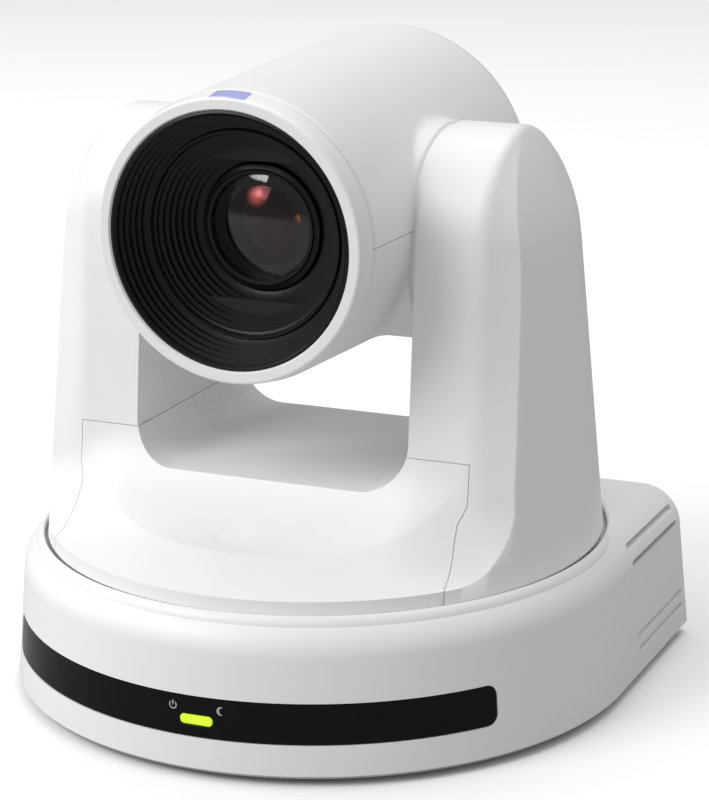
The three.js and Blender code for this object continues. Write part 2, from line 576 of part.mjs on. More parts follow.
function yokeForm(inset) {
  const low = inset > 0 ? -1 : 0;
  const top = ARM_TOP_RISE - inset;
  const bevelRise = ARM_TOP_RISE - ARM_BEVEL_DROP;
  const round = turned([[0, low], [yokeRadius(low) - inset, low],
    [yokeRadius(bevelRise - 6) - inset, bevelRise - 6],
    [yokeRadius(bevelRise) - 1.6 - inset, bevelRise],
    [ARM_CROWN_RADIUS - inset * 0.5, top], [0, top]], FINE);
  const lip = turned([[0, -1], [yokeRadius(0) + 1 - inset, -1],
    [yokeRadius(0) + 1 - inset, BAND_RISE - inset],
    [yokeRadius(BAND_RISE) - inset, BAND_RISE - inset],
    [CREASE_RADIUS - inset, CREASE_RISE - inset], [0, CREASE_RISE - inset]], FINE);
  const sides = prismX(sideOutline(inset), -TALL / 2, TALL / 2);
  const half = ARM_GAP + inset;
  const fillet = SADDLE_FILLET + inset;
  const floor = SADDLE_RISE - inset;
  const channel = prismY([[-half, TALL], ...arcPoints(-half + fillet, floor + fillet, fillet,
    180, 270, 6), ...arcPoints(half - fillet, floor + fillet, fillet, 270, 360, 6),
  [half, TALL]], -TALL / 2, TALL / 2);
  // flat facets on the outer front and rear corners of each arm
  const facets = [-1, 1].flatMap((side) => [-1, 1].map((end) => {
    const crown = new THREE.Vector3(side * (TURNTABLE_RADIUS - FACET_CROWN_INSET), end * 25.1, 79.3);
    const outer = new THREE.Vector3(side * (TURNTABLE_RADIUS - FACET_OUTER_INSET), end * 18.5, 79.3);
    const foot = new THREE.Vector3(side * (TURNTABLE_RADIUS - FACET_FOOT_INSET), end * 29.5, 20.3);
    const normal = outer.clone().sub(crown).cross(foot.clone().sub(crown)).normalize();
    if (normal.y * end < 0) normal.negate();
    return beyondPlane(crown.addScaledVector(normal, -inset), normal);
  }));
  return cut(round.intersect(union(lip, cut(sides, ...facets))), channel);
}

const seamOutline = (grow) => [
  [-SEAM_HALF_WIDTH - grow, -2], [SEAM_HALF_WIDTH + grow, -2],
  [SEAM_HALF_WIDTH + grow, BAND_RISE], [SEAM_HALF_WIDTH - SEAM_NOTCH + grow, 15.2],
  [SEAM_HALF_WIDTH + grow, 19.6], [SEAM_HALF_WIDTH + grow, SEAM_RISE + grow],
  [-SEAM_HALF_WIDTH - grow, SEAM_RISE + grow], [-SEAM_HALF_WIDTH - grow, 19.6],
  [-SEAM_HALF_WIDTH + SEAM_NOTCH - grow, 15.2], [-SEAM_HALF_WIDTH - grow, BAND_RISE]];

const yokeShell = cut(yokeForm(0), yokeForm(WALL));
const frontRegion = prismY(seamOutline(-GAP / 2), -TALL, SADDLE_SEAM_Y - GAP / 2);
const rearRegion = prismY(seamOutline(-GAP / 2), SADDLE_SEAM_Y + GAP / 2, TALL);
const shaftHole = ARM_GAP + WALL + 1;
const armShell = cut(yokeShell, prismY(seamOutline(GAP / 2), -TALL, TALL),
  turnedX(rod(TRUNNION_RADIUS + 3.6, -shaftHole, shaftHole), TILT_SETBACK, TILT_RISE, MEDIUM));
const sideOf = (side) => (side < 0 ? box(-TALL, 0, -TALL, TALL, -TALL, TALL)
  : box(0, TALL, -TALL, TALL, -TALL, TALL));
piece(yoke, 'yoke_front_cover', yokeShell.intersect(frontRegion), WHITE);
piece(yoke, 'yoke_rear_cover', yokeShell.intersect(rearRegion), WHITE);
piece(yoke, 'arm_cover_left', armShell.intersect(sideOf(-1)), WHITE);
piece(yoke, 'arm_cover_right', armShell.intersect(sideOf(1)), WHITE);

// ---------------------------------------------------------------- turntable
const plateTop = GAP + 2;
piece(yoke, 'turntable', turned([[HUB_BORE, -HUB_LENGTH], [HUB_RADIUS, -HUB_LENGTH],
  [HUB_RADIUS, GAP], [TURNTABLE_RADIUS - TURNTABLE_MARGIN, GAP],
  [TURNTABLE_RADIUS - TURNTABLE_MARGIN, plateTop], [HUB_BORE, plateTop]], MEDIUM), STEEL);
piece(yoke, 'pan_bearing_inner', turned(tube(HUB_RADIUS + GAP,
  HUB_RADIUS + GAP + RACE_THICKNESS, DECK_UNDERSIDE - YOKE_LEVEL,
  DECK_UNDERSIDE - YOKE_LEVEL + BEARING_WIDTH), MEDIUM), STEEL);
piece(yoke, 'pan_pulley', turned(pulleyProfile(HUB_RADIUS + GAP, PAN_PULLEY_RADIUS,
  PAN_PULLEY_LEVEL - YOKE_LEVEL), MEDIUM), GREY_PLASTIC);

// ---------------------------------------------------------------- tilt drive
const frameLow = plateTop + GAP;
const frameEdge = UPRIGHT_X + FRAME_THICKNESS;
const motorRise = TILT_RISE - TILT_MOTOR_DROP;
function makeFrame() {
  const depth = FRAME_HALF_DEPTH;
  const upright = [[-depth, frameLow], [depth, frameLow],
    ...arcPoints(0, TILT_RISE, depth, 0, 180, 10)];
  const plate = prismX(upright.map(([y, h]) => [y + TILT_SETBACK, h]), -frameEdge, frameEdge);
  const inside = box(-UPRIGHT_X, UPRIGHT_X, -TALL, TALL, frameLow + FRAME_THICKNESS, TALL);
  return cut(plate, inside,
    turnedX(rod(TILT_RACE_RADIUS + GAP, -TALL, TALL), TILT_SETBACK, TILT_RISE),
    turnedX(rod(TILT_MOTOR_PULLEY_RADIUS + 1, 0, TALL), TILT_SETBACK, motorRise),
    turned(rod(HUB_BORE, -TALL, TALL)));
}
piece(yoke, 'yoke_frame', makeFrame(), STEEL);

const raceX = [UPRIGHT_X - 0.2, UPRIGHT_X + 3.4];
for (const [name, side] of [['left', -1], ['right', 1]]) {
  const race = turnedX(tube(TRUNNION_RADIUS + GAP, TILT_RACE_RADIUS, raceX[0], raceX[1]),
    TILT_SETBACK, TILT_RISE);
  piece(yoke, `tilt_bearing_${name}`, side > 0 ? race : race.mirror([1, 0, 0]), STEEL);
}

const motorX = frameEdge + GAP;
const coverInside = yokeRadius(motorRise) - WALL - 1;
const motorLength = Math.sqrt(coverInside ** 2 - TILT_MOTOR_RADIUS ** 2) - motorX
  - TILT_MOTOR_CLEARANCE;
piece(yoke, 'tilt_motor', turnedX([[MOTOR_SHAFT_RADIUS, motorX], [TILT_MOTOR_RADIUS, motorX],
  [TILT_MOTOR_RADIUS, motorX + motorLength - 1],
  [TILT_MOTOR_RADIUS - 1, motorX + motorLength], [0, motorX + motorLength],
  [0, motorX + motorLength / 3], [MOTOR_SHAFT_RADIUS, motorX + motorLength / 3]],
  TILT_SETBACK, motorRise), STEEL);
const tiltPulleyX = ARM_GAP + WALL + 0.8;
const tiltPulley = (inner, radius) => [
  [inner, tiltPulleyX], [radius + 0.8, tiltPulleyX], [radius + 0.8, tiltPulleyX + 0.5],
  [radius, tiltPulleyX + 0.5], [radius, tiltPulleyX + TILT_PULLEY_WIDTH], [inner,
    tiltPulleyX + TILT_PULLEY_WIDTH]];
piece(yoke, 'tilt_motor_pulley', union(
  turnedX(tiltPulley(0, TILT_MOTOR_PULLEY_RADIUS), TILT_SETBACK, motorRise),
  turnedX(rod(MOTOR_SHAFT_RADIUS - GAP, tiltPulleyX, motorX + motorLength / 3 - GAP),
    TILT_SETBACK, motorRise),
), BRASS);
piece(yoke, 'tilt_belt', prismX(beltOutline(TILT_SETBACK, TILT_RISE, TILT_PULLEY_RADIUS + GAP,
  TILT_SETBACK, motorRise, TILT_MOTOR_PULLEY_RADIUS + GAP, BELT_THICKNESS),
tiltPulleyX + 0.8, tiltPulleyX + 0.8 + TILT_PULLEY_WIDTH - 1.2), BELT_BLACK);
piece(yoke, 'tilt_cable_harness', turnedX(
  rod(2.4, -yokeRadius(TILT_RISE) + WALL + HARNESS_END, -HEAD_HALF_WIDTH + 8),
  TILT_SETBACK, TILT_RISE), BLACK_MATTE);

// ---------------------------------------------------------------- head shell
const headRadius = (y) => HEAD_FRONT_RADIUS
  + (HEAD_REAR_RADIUS - HEAD_FRONT_RADIUS) * (y + HEAD_FRONT) / (HEAD_REAR + HEAD_FRONT);

function headForm(inset) {
  const front = inset > 0 ? -HEAD_FRONT - 1 : -HEAD_FRONT;
  const rear = HEAD_REAR - inset;
  const rounding = HEAD_REAR_ROUNDING - inset / 2;
  const round = turnedY([[0, front], [headRadius(-HEAD_FRONT) - inset, front],
    [headRadius(rear - rounding) - inset, rear - rounding],
    ...arcPoints(HEAD_REAR_RADIUS - inset - rounding, rear - rounding, rounding, 0, 90, 4)
      .slice(1), [0, rear]], LENS_RISE, FINE);
  const half = HEAD_HALF_WIDTH - inset;
  const drum = turnedX(rod(ARM_TOP_RADIUS - inset, -half, half), 0, 0, MEDIUM);
  const reach = HEAD_SWING_RADIUS - inset;
  const swing = prismX([[-TALL, -TALL], [0, -TALL], [0, -reach],
    ...arcPoints(0, 0, reach, -85, 0, 12), [reach, TALL], [-TALL, TALL]], -half, half);
  return union(round, drum).intersect(swing);
}

const headShell = cut(headForm(0), headForm(WALL),
  turnedX(rod(TRUNNION_RADIUS + GAP, -TALL, TALL), 0, 0));
const aboveSeam = box(-TALL, TALL, -TALL, TALL, LENS_RISE + GAP / 2, TALL);
const belowSeam = box(-TALL, TALL, -TALL, TALL, -TALL, LENS_RISE - GAP / 2);
piece(head, 'head_upper_shell', headShell.intersect(aboveSeam), WHITE);
piece(head, 'head_lower_shell', headShell.intersect(belowSeam), WHITE);

const ringBack = -HEAD_FRONT - GAP;
const ringFront = ringBack - RING_LENGTH;
const tallyNotch = (grow) => box(-TALLY_WIDTH / 2 - grow, TALLY_WIDTH / 2 + grow,
  ringBack - TALLY_LENGTH / 2 - grow, TALL, LENS_RISE + HEAD_FRONT_RADIUS - 2 - grow, TALL);
piece(head, 'front_ring', cut(turnedY([[HOOD_MOUTH_RADIUS + GAP, ringFront],
  [RING_FRONT_RADIUS - 0.6, ringFront], [RING_FRONT_RADIUS, ringFront + 0.7],
  [HEAD_FRONT_RADIUS, ringBack], [HOOD_MOUTH_RADIUS + GAP, ringBack]], LENS_RISE, FINE),
tallyNotch(GAP)), RING_WHITE);
piece(head, 'tally_lamp', turnedY(tube(HEAD_FRONT_RADIUS - 1.9, HEAD_FRONT_RADIUS + 0.2,
  ringBack - TALLY_LENGTH / 2, ringBack), LENS_RISE, FINE).intersect(tallyNotch(0)), LAVENDER);

// ---------------------------------------------------------------- lens
const hoodStepY = ringFront + HOOD_STEP_DEPTH;
const hoodBackY = ringFront + HOOD_DEPTH;
function ribbed(fromR, fromY, toR, toY, ribs) {
  const points = [];
  for (let i = 0; i < ribs; i += 1) {
    const [a, b] = [i / ribs, (i + 1) / ribs];
    points.push([fromR + (toR - fromR) * a, fromY + (toY - fromY) * a]);
    points.push([fromR + (toR - fromR) * a, fromY + (toY - fromY) * b]);
  }
  return points;
}
piece(head, 'lens_hood', turnedY([
  [HOOD_MOUTH_RADIUS, ringFront + 0.3],
  ...ribbed(HOOD_MOUTH_RADIUS - 0.8, ringFront + 0.3, HOOD_STEP_RADIUS, hoodStepY, 3),
  [HOOD_STEP_RADIUS, hoodStepY],
  ...ribbed(HOOD_STEP_RADIUS - 0.8, hoodStepY, FRONT_LENS_RADIUS + 3, hoodBackY - 1, 3),
  [FRONT_LENS_RADIUS + 3, hoodBackY - 1], [FRONT_LENS_RADIUS + 3, hoodBackY],
  [BARREL_RADIUS, hoodBackY],
  [HOOD_STEP_RADIUS + 1.5, hoodStepY + 2], [HOOD_MOUTH_RADIUS, hoodStepY]], LENS_RISE, MEDIUM),
BLACK_MATTE);
const barrelY = hoodBackY + GAP;
const barrelEnd = barrelY + BARREL_LENGTH;
const bore = BARREL_RADIUS - BARREL_WALL;
piece(head, 'front_lens', turnedY([[0, hoodBackY - 4], [5, hoodBackY - 3.6],
  [9.5, hoodBackY - 2.3], [FRONT_LENS_RADIUS, hoodBackY - 0.4],
  [FRONT_LENS_RADIUS, barrelY + 2.5], [7, barrelY + 0.6], [0, barrelY]], LENS_RISE, MEDIUM), GLASS);
piece(head, 'lens_barrel', turnedY([[FRONT_LENS_RADIUS + GAP, barrelY], [BARREL_RADIUS, barrelY],
  [BARREL_RADIUS, barrelEnd], [9, barrelEnd], [9, barrelEnd - 2], [bore, barrelEnd - 2],
  [bore, barrelY + 3], [FRONT_LENS_RADIUS + GAP, barrelY + 3]], LENS_RISE, MEDIUM), BLACK_MATTE);
const lensCell = (y, thickness, radius) => turnedY([[0, y], [radius * 0.55, y + 0.3],
  [radius * 0.7, y + 1.2], [radius, y + 1.2], [radius, y + thickness - 1.2],
  [radius * 0.7, y + thickness - 1.2], [radius * 0.55, y + thickness - 0.3],
  [0, y + thickness]], LENS_RISE);
piece(head, 'zoom_group', lensCell(barrelY + 4, 6, bore - GAP), GLASS);
piece(head, 'iris_unit', turnedY(tube(4, bore - GAP, barrelY + 24.5, barrelY + 27),
  LENS_RISE), BLACK_MATTE);
piece(head, 'focus_group', lensCell(barrelY + 31, 5, bore - GAP), GLASS);
piece(head, 'image_sensor_board', union(
  prismY(roundedRect(-18, 18, LENS_RISE - 16, LENS_RISE + 16, 2), barrelEnd + 1,
    barrelEnd + 2.6),
  box(-6, 6, barrelEnd + GAP, barrelEnd + 1.4, LENS_RISE - 4, LENS_RISE + 4)), BOARD_GREEN);
for (const [name, side] of [['zoom_motor', -1], ['focus_motor', 1]]) {
  piece(head, name, union(
    turnedY(rod(LENS_MOTOR_RADIUS, barrelY + 6, barrelY + 18), LENS_RISE - 15, 18),
    turnedY(rod(1, barrelY + 17.5, barrelY + 34), LENS_RISE - 15, 10),
  ).translate([side * 19.5, 0, 0]), STEEL);
}

// ---------------------------------------------------------------- tilt shafts
const innerHalf = HEAD_HALF_WIDTH - WALL;
const chassisX = innerHalf - 2.4 - FRAME_THICKNESS;
piece(head, 'head_chassis', cut(
  box(-chassisX - FRAME_THICKNESS, chassisX + FRAME_THICKNESS, -13, 13, -19.5, 9),
  box(-chassisX, chassisX, -TALL, TALL, -19.5 + FRAME_THICKNESS, TALL),
  turnedX(rod(TRUNNION_RADIUS + GAP, -TALL, TALL), 0, 0)), STEEL);
const trunnion = (innerRadius) => {
  const end = innerHalf + TRUNNION_LENGTH;
  return turnedX([[innerRadius, chassisX - 1], [TRUNNION_RADIUS, chassisX - 1],
    [TRUNNION_RADIUS, innerHalf - 2], [TRUNNION_RADIUS + 3, innerHalf - 2],
    [TRUNNION_RADIUS + 3, innerHalf - GAP], [TRUNNION_RADIUS, innerHalf - GAP],
    [TRUNNION_RADIUS, end], [innerRadius, end]], 0, 0);
};
piece(head, 'trunnion_left', trunnion(3).mirror([1, 0, 0]), STEEL);
piece(head, 'trunnion_right', trunnion(0), STEEL);
piece(head, 'tilt_pulley', turnedX(tiltPulley(TRUNNION_RADIUS + GAP, TILT_PULLEY_RADIUS),
  0, 0, MEDIUM), GREY_PLASTIC);

export default camera;
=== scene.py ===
import json
import math

import bmesh
import bpy
import numpy as np
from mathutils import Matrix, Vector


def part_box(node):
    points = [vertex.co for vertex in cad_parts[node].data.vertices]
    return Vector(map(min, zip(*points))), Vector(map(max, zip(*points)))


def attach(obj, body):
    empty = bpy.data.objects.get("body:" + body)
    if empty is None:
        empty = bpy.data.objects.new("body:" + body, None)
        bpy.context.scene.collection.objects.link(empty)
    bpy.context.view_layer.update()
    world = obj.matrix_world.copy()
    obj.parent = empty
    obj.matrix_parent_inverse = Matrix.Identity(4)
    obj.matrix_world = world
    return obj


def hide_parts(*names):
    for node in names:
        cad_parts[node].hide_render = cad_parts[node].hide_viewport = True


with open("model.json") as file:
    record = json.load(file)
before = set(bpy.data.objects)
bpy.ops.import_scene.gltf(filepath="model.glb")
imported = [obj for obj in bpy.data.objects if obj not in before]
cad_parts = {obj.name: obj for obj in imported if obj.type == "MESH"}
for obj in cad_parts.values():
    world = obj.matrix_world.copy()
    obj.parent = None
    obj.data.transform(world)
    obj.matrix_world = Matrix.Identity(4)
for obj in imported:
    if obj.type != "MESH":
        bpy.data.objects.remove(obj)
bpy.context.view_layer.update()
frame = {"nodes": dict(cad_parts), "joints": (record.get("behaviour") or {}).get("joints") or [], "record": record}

import openvdb
from bpy.props import FloatProperty, FloatVectorProperty, IntProperty, PointerProperty
from mathutils import Matrix, Vector

bl_info = {
    "name": "PTZ camera looks",
    "version": (1, 0, 0),
    "blender": (4, 5, 0),
    "location": "View3D > Sidebar > PTZ camera",
    "description": "Builds the visible shell, lens, window, sockets and stage of a PTZ camera",
    "category": "Object",
}

# Every length below is in millimetres; a finished piece is brought to metres.
MM = 0.001


def node_box(node):
    low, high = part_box(node)
    return low / MM, high / MM


# ------------------------------------------------------------------ sizes from the frame
_, BASE_HIGH = node_box("base_cover")
BASE_RADIUS = BASE_HIGH.x
BASE_TOP = BASE_HIGH.z
COLLAR_RADIUS = BASE_HIGH.y
PANEL_LOW, PANEL_HIGH = node_box("connector_panel")
REAR_WALL = PANEL_HIGH.y + 0.6
YOKE_LOW, YOKE_HIGH = node_box("arm_cover_right")
YOKE_LEVEL = YOKE_LOW.z
YOKE_RADIUS = YOKE_HIGH.x
ARM_GAP = YOKE_LOW.x
ARM_TOP = YOKE_HIGH.z - YOKE_LEVEL
TILT = next(j for j in frame["joints"] if j["name"] == "tilt")["pos_m"]
TILT_Y, TILT_Z = TILT[1] / MM, TILT[2] / MM
HEAD_LOW, HEAD_HIGH = node_box("head_upper_shell")
HEAD_FRONT, HEAD_REAR = HEAD_LOW.y, HEAD_HIGH.y
DRUM_HALF = HEAD_HIGH.x - 1.0
RING_LOW, RING_HIGH = node_box("front_ring")
RING_RADIUS = RING_HIGH.x
LENS_Z = RING_LOW.z + RING_RADIUS
HOOD_LOW, HOOD_HIGH = node_box("lens_hood")
GLASS_LOW, GLASS_HIGH = node_box("front_lens")
WINDOW_LOW, WINDOW_HIGH = node_box("ir_window")
LED_LOW, LED_HIGH = node_box("status_led_lens")

BASE_DRAFT = 0.09
RECESS_RADIUS = YOKE_RADIUS + 0.9
DECK_FLOOR = BASE_TOP - 3
WINDOW_HALF_ANGLE = 55
YOKE_TAPER = 0.082
BAND_RISE = 3.6
CREASE_RADIUS = YOKE_RADIUS - 14.5
CROWN_RADIUS = YOKE_RADIUS - 17.2
SEAM_HALF = YOKE_RADIUS - 18.2
LIP_SLOPE = 0.4
BEVEL_RUN, BEVEL_DROP = 8.5, 10.5
DIMPLE_X, DIMPLE_Y, DIMPLE_RADIUS, DIMPLE_DEPTH = -2.5, -47.3, 4.4, 0.2
SADDLE_ROUND = 11
OUTER_FACETS = 240
ARM_ROUND = ARM_TOP - (TILT_Z - YOKE_LEVEL)
ARM_LEAN = math.atan(0.115)
SADDLE_RISE = 20.8
SEAM_RISE = 29.3
SADDLE_SEAM_Y = -2.5
TILT_RISE = TILT_Z - YOKE_LEVEL
HEAD_FRONT_RADIUS = 33.9
HEAD_REAR_RADIUS = 37.4
HEAD_SWING = 54.3
WALL = 2.0
FAR = 300.0
VENT_HEIGHTS = (6.5, 10, 28.5, 32.5)
VENT_FRONT, VENT_REAR, VENT_SLOT = 16, 51, 1.6


# ------------------------------------------------------------------ settings
class ShellLooks(bpy.types.PropertyGroup):
    white: FloatVectorProperty(
        name="Shell white", description="Colour of the moulded shells",
        subtype="COLOR", default=(0.86, 0.86, 0.857), min=0, max=1)
    ring_white: FloatVectorProperty(
        name="Ring white", description="Colour of the ring round the lens hood",
        subtype="COLOR", default=(0.87, 0.87, 0.87), min=0, max=1)
    tally: FloatVectorProperty(
        name="Tally lamp", description="Colour of the lamp on top of the ring",
        subtype="COLOR", default=(0.42, 0.44, 0.78), min=0, max=1)
    seam: FloatProperty(
        name="Seam", description="Gap between neighbouring covers",
        default=0.18 * MM, min=0.1 * MM, max=1 * MM, unit="LENGTH")
    cell: FloatProperty(
        name="Surface cell", description="Spacing of the points on the smooth covers",
        default=0.62 * MM, min=0.4 * MM, max=2 * MM, unit="LENGTH")
    facets: IntProperty(
        name="Facets", description="Facets round a full circle",
        default=160, min=48, max=512)


class LightLooks(bpy.types.PropertyGroup):
    led: FloatVectorProperty(
        name="Status lamp", description="Colour of the lit status lamp",
        subtype="COLOR", default=(0.5, 0.8, 0.03), min=0, max=1)
    led_strength: FloatProperty(
        name="Lamp strength", description="Brightness of the status lamp",
        default=0.75, min=0, max=20)
    key: FloatProperty(
        name="Key light", description="Power of the large front light",
        default=15.0, min=0, max=100)
    room: FloatProperty(
        name="Room light", description="Brightness of the light from all sides",
        default=0.62, min=0, max=5)
    gloss: FloatProperty(
        name="Mirrored room", description="Brightness of the room in glossy surfaces",
        default=0.16, min=0, max=5)
    bounce: FloatProperty(
        name="Floor bounce", description="Share of the light that the floor throws back",
        default=0.3, min=0, max=1)


def shell_looks():
    return bpy.context.scene.ptz_shell


def light_looks():
    return bpy.context.scene.ptz_light


# ------------------------------------------------------------------ modelling helpers
def as_mesh(bm):
    mesh = bpy.data.meshes.new("part")
    bm.to_mesh(mesh)
    bm.free()
    return mesh


def tidy_surface(bm):
    bmesh.ops.remove_doubles(bm, verts=bm.verts, dist=1e-4)
    bmesh.ops.dissolve_degenerate(bm, dist=1e-4, edges=bm.edges)
    bmesh.ops.recalc_face_normals(bm, faces=bm.faces)


def lathe(profile, facets=None, axis="Z", at=(0, 0, 0)):
    """Closed solid from (radius, height) corners turned about an axis."""
    bm = bmesh.new()
    verts = [bm.verts.new((r, 0, h)) for r, h in profile]
    edges = []
    for a, b in zip(verts, verts[1:] + verts[:1]):
        if a.co.x > 1e-6 or b.co.x > 1e-6:
            edges.append(bm.edges.new((a, b)))
    bmesh.ops.spin(bm, geom=verts + edges, cent=(0, 0, 0), axis=(0, 0, 1), dvec=(0, 0, 0),
                   angle=math.tau, steps=facets or shell_looks().facets, use_merge=True,
                   use_normal_flip=False, use_duplicate=False)
    tidy_surface(bm)
    turn = {"Z": Matrix.Identity(4), "Y": Matrix.Rotation(-math.pi / 2, 4, "X"),
            "X": Matrix.Rotation(math.pi / 2, 4, "Y")}[axis]
    bmesh.ops.transform(bm, matrix=Matrix.Translation(at) @ turn, verts=bm.verts)
    return as_mesh(bm)


def slab(outline, low, high, axis="Z", edge=0.0, segments=2):
    """Solid from an outline pushed from low to high; X takes (y, z), Y takes (x, z)."""
    bm = bmesh.new()
    face = bm.faces.new([bm.verts.new((u, v, low)) for u, v in outline])
    pushed = bmesh.ops.extrude_face_region(bm, geom=[face])["geom"]
    bmesh.ops.translate(bm, vec=(0, 0, high - low),
                        verts=[g for g in pushed if isinstance(g, bmesh.types.BMVert)])
    if edge:
        rims = [e for e in bm.edges if len(e.link_faces) == 2
                and any(len(f.verts) == len(outline) and abs(f.normal.z) > 0.5
                        for f in e.link_faces)]
        bmesh.ops.bevel(bm, geom=rims, offset=edge, affect="EDGES", segments=segments,
                        profile=0.5, material=-1, offset_type="OFFSET", clamp_overlap=True)
    turn = {"Z": Matrix.Identity(4),
            "Y": Matrix(((1, 0, 0, 0), (0, 0, 1, 0), (0, 1, 0, 0), (0, 0, 0, 1))),
            "X": Matrix(((0, 0, 1, 0), (1, 0, 0, 0), (0, 1, 0, 0), (0, 0, 0, 1)))}[axis]
    bmesh.ops.transform(bm, matrix=turn, verts=bm.verts)
    bmesh.ops.recalc_face_normals(bm, faces=bm.faces)
    return as_mesh(bm)


def block(x0, x1, y0, y1, z0, z1):
    return slab([(x0, y0), (x1, y0), (x1, y1), (x0, y1)], z0, z1)


def moved(mesh, matrix):
    mesh.transform(matrix)
    if matrix.determinant() < 0:
        mesh.flip_normals()
    return mesh


def mirrored(mesh):
    return moved(mesh.copy(), Matrix.Scale(-1, 4, (1, 0, 0)))


def cut_and_join(mesh, steps):
    """Applies (operation, mesh) steps in order and returns the new mesh."""
    holder = bpy.data.objects.new("holder", mesh)
    bpy.context.scene.collection.objects.link(holder)
    tools = []
    for kind, tool in steps:
        thing = bpy.data.objects.new("tool", tool)
        bpy.context.scene.collection.objects.link(thing)
        modifier = holder.modifiers.new("step", "BOOLEAN")
        modifier.operation, modifier.object, modifier.solver = kind, thing, "MANIFOLD"
        tools.append(thing)
    graph = bpy.context.evaluated_depsgraph_get()
    result = bpy.data.meshes.new_from_object(holder.evaluated_get(graph))
    for thing in [holder, *tools]:
        bpy.data.objects.remove(thing)
    if not result.polygons:
        raise RuntimeError("a cut left nothing over")
    return result


def cut(mesh, *tools):
    return cut_and_join(mesh, [("DIFFERENCE", t) for t in tools])


def joined(mesh, *others):
    return cut_and_join(mesh, [("UNION", t) for t in others])


def common(mesh, *others):
    return cut_and_join(mesh, [("INTERSECT", t) for t in others])


def together(*meshes):
    """Several loose meshes as one."""
    bm = bmesh.new()
    for mesh in meshes:
        bm.from_mesh(mesh)
    return as_mesh(bm)


def arc(cx, cy, radius, start, end, steps):
    return [(cx + radius * math.cos(math.radians(start + (end - start) * i / steps)),
             cy + radius * math.sin(math.radians(start + (end - start) * i / steps)))
            for i in range(steps + 1)]


def rounded_box(x0, x1, y0, y1, radius, steps=5):
    return [*arc(x1 - radius, y1 - radius, radius, 0, 90, steps),
            *arc(x0 + radius, y1 - radius, radius, 90, 180, steps),
            *arc(x0 + radius, y0 + radius, radius, 180, 270, steps),
            *arc(x1 - radius, y0 + radius, radius, 270, 360, steps)]


def rod(radius, low, high, edge=0.0):
    if not edge:
        return [(0, low), (radius, low), (radius, high), (0, high)]
    return [(0, low), (radius - edge, low), (radius, low + edge),
            (radius, high - edge), (radius - edge, high), (0, high)]


def tube(inner, outer, low, high):
    return [(inner, low), (outer, low), (outer, high), (inner, high)]


# ------------------------------------------------------------------ smooth covers
def meet(a, b, rounding):
    """Where two solids overlap, with the edge between them rounded."""
    return (np.minimum(np.maximum(a, b), -rounding)
            + np.hypot(np.maximum(a + rounding, 0), np.maximum(b + rounding, 0)))


def merge(a, b, fillet):
    """Two solids as one, with a hollow fillet between them."""
    return -meet(-a, -b, fillet)


def moulded(field, low, high, cell, inset=0.0, passes=2):
    """Closed mesh of the space where field is below -inset."""
    starts = [l - 3 * cell for l in low]
    axes = [np.arange(s, h + 3 * cell, cell, dtype=np.float32)
            for s, h in zip(starts, high)]
    x, y, z = np.meshgrid(*axes, indexing="ij", sparse=True)
    reach = 4 * cell
    values = np.clip(field(x, y, z) + inset, -reach, reach).astype(np.float32)
    grid = openvdb.FloatGrid(reach)
    grid.copyFromArray(values)
    grid.transform = openvdb.createLinearTransform(voxelSize=cell)
    points, _, quads = grid.convertToPolygons(isovalue=0.0, adaptivity=0.0)
    mesh = bpy.data.meshes.new("moulded")
    mesh.from_pydata((points + np.array(starts)).tolist(), [], quads.tolist())
    bm = bmesh.new()
    bm.from_mesh(mesh)
    for _ in range(passes):
        bmesh.ops.smooth_vert(bm, verts=bm.verts, factor=0.5, use_axis_x=True,
                              use_axis_y=True, use_axis_z=True)
    if bm.calc_volume(signed=True) < 0:
        bmesh.ops.reverse_faces(bm, faces=bm.faces)
    return as_mesh(bm)


def ramp(value, start, end):
    share = np.clip((value - start) / (end - start), 0, 1)
    return share * share * (3 - 2 * share)


def outer_form(radius, rise):
    """Round side leaning inward, with a rounded bevel up to the arm tops."""
    side = radius - (YOKE_RADIUS - YOKE_TAPER * rise)
    bevel = ((radius - CROWN_RADIUS) * BEVEL_DROP + (rise - ARM_TOP) * BEVEL_RUN) / 13.51
    return meet(side, bevel, 9.0)


def outer_solid(inset, low):
    """The round outer form as an exact solid, which trims the smooth covers."""
    radii = np.linspace(30, YOKE_RADIUS + 3, 3000)
    rises = [low, *np.arange(0.6, ARM_TOP - 24, 6), *np.linspace(ARM_TOP - 22, ARM_TOP + 4, 27)]
    side = [(float(np.interp(-inset, outer_form(radii, h), radii)), float(h)) for h in rises]
    if not inset:
        side.insert(0, (side[0][0] - 0.5, low))
        side[1] = (side[1][0], low + 0.5)
    return lathe([(0, low), *side, (0, ARM_TOP + 4)], OUTER_FACETS, "Z", (0, 0, YOKE_LEVEL))


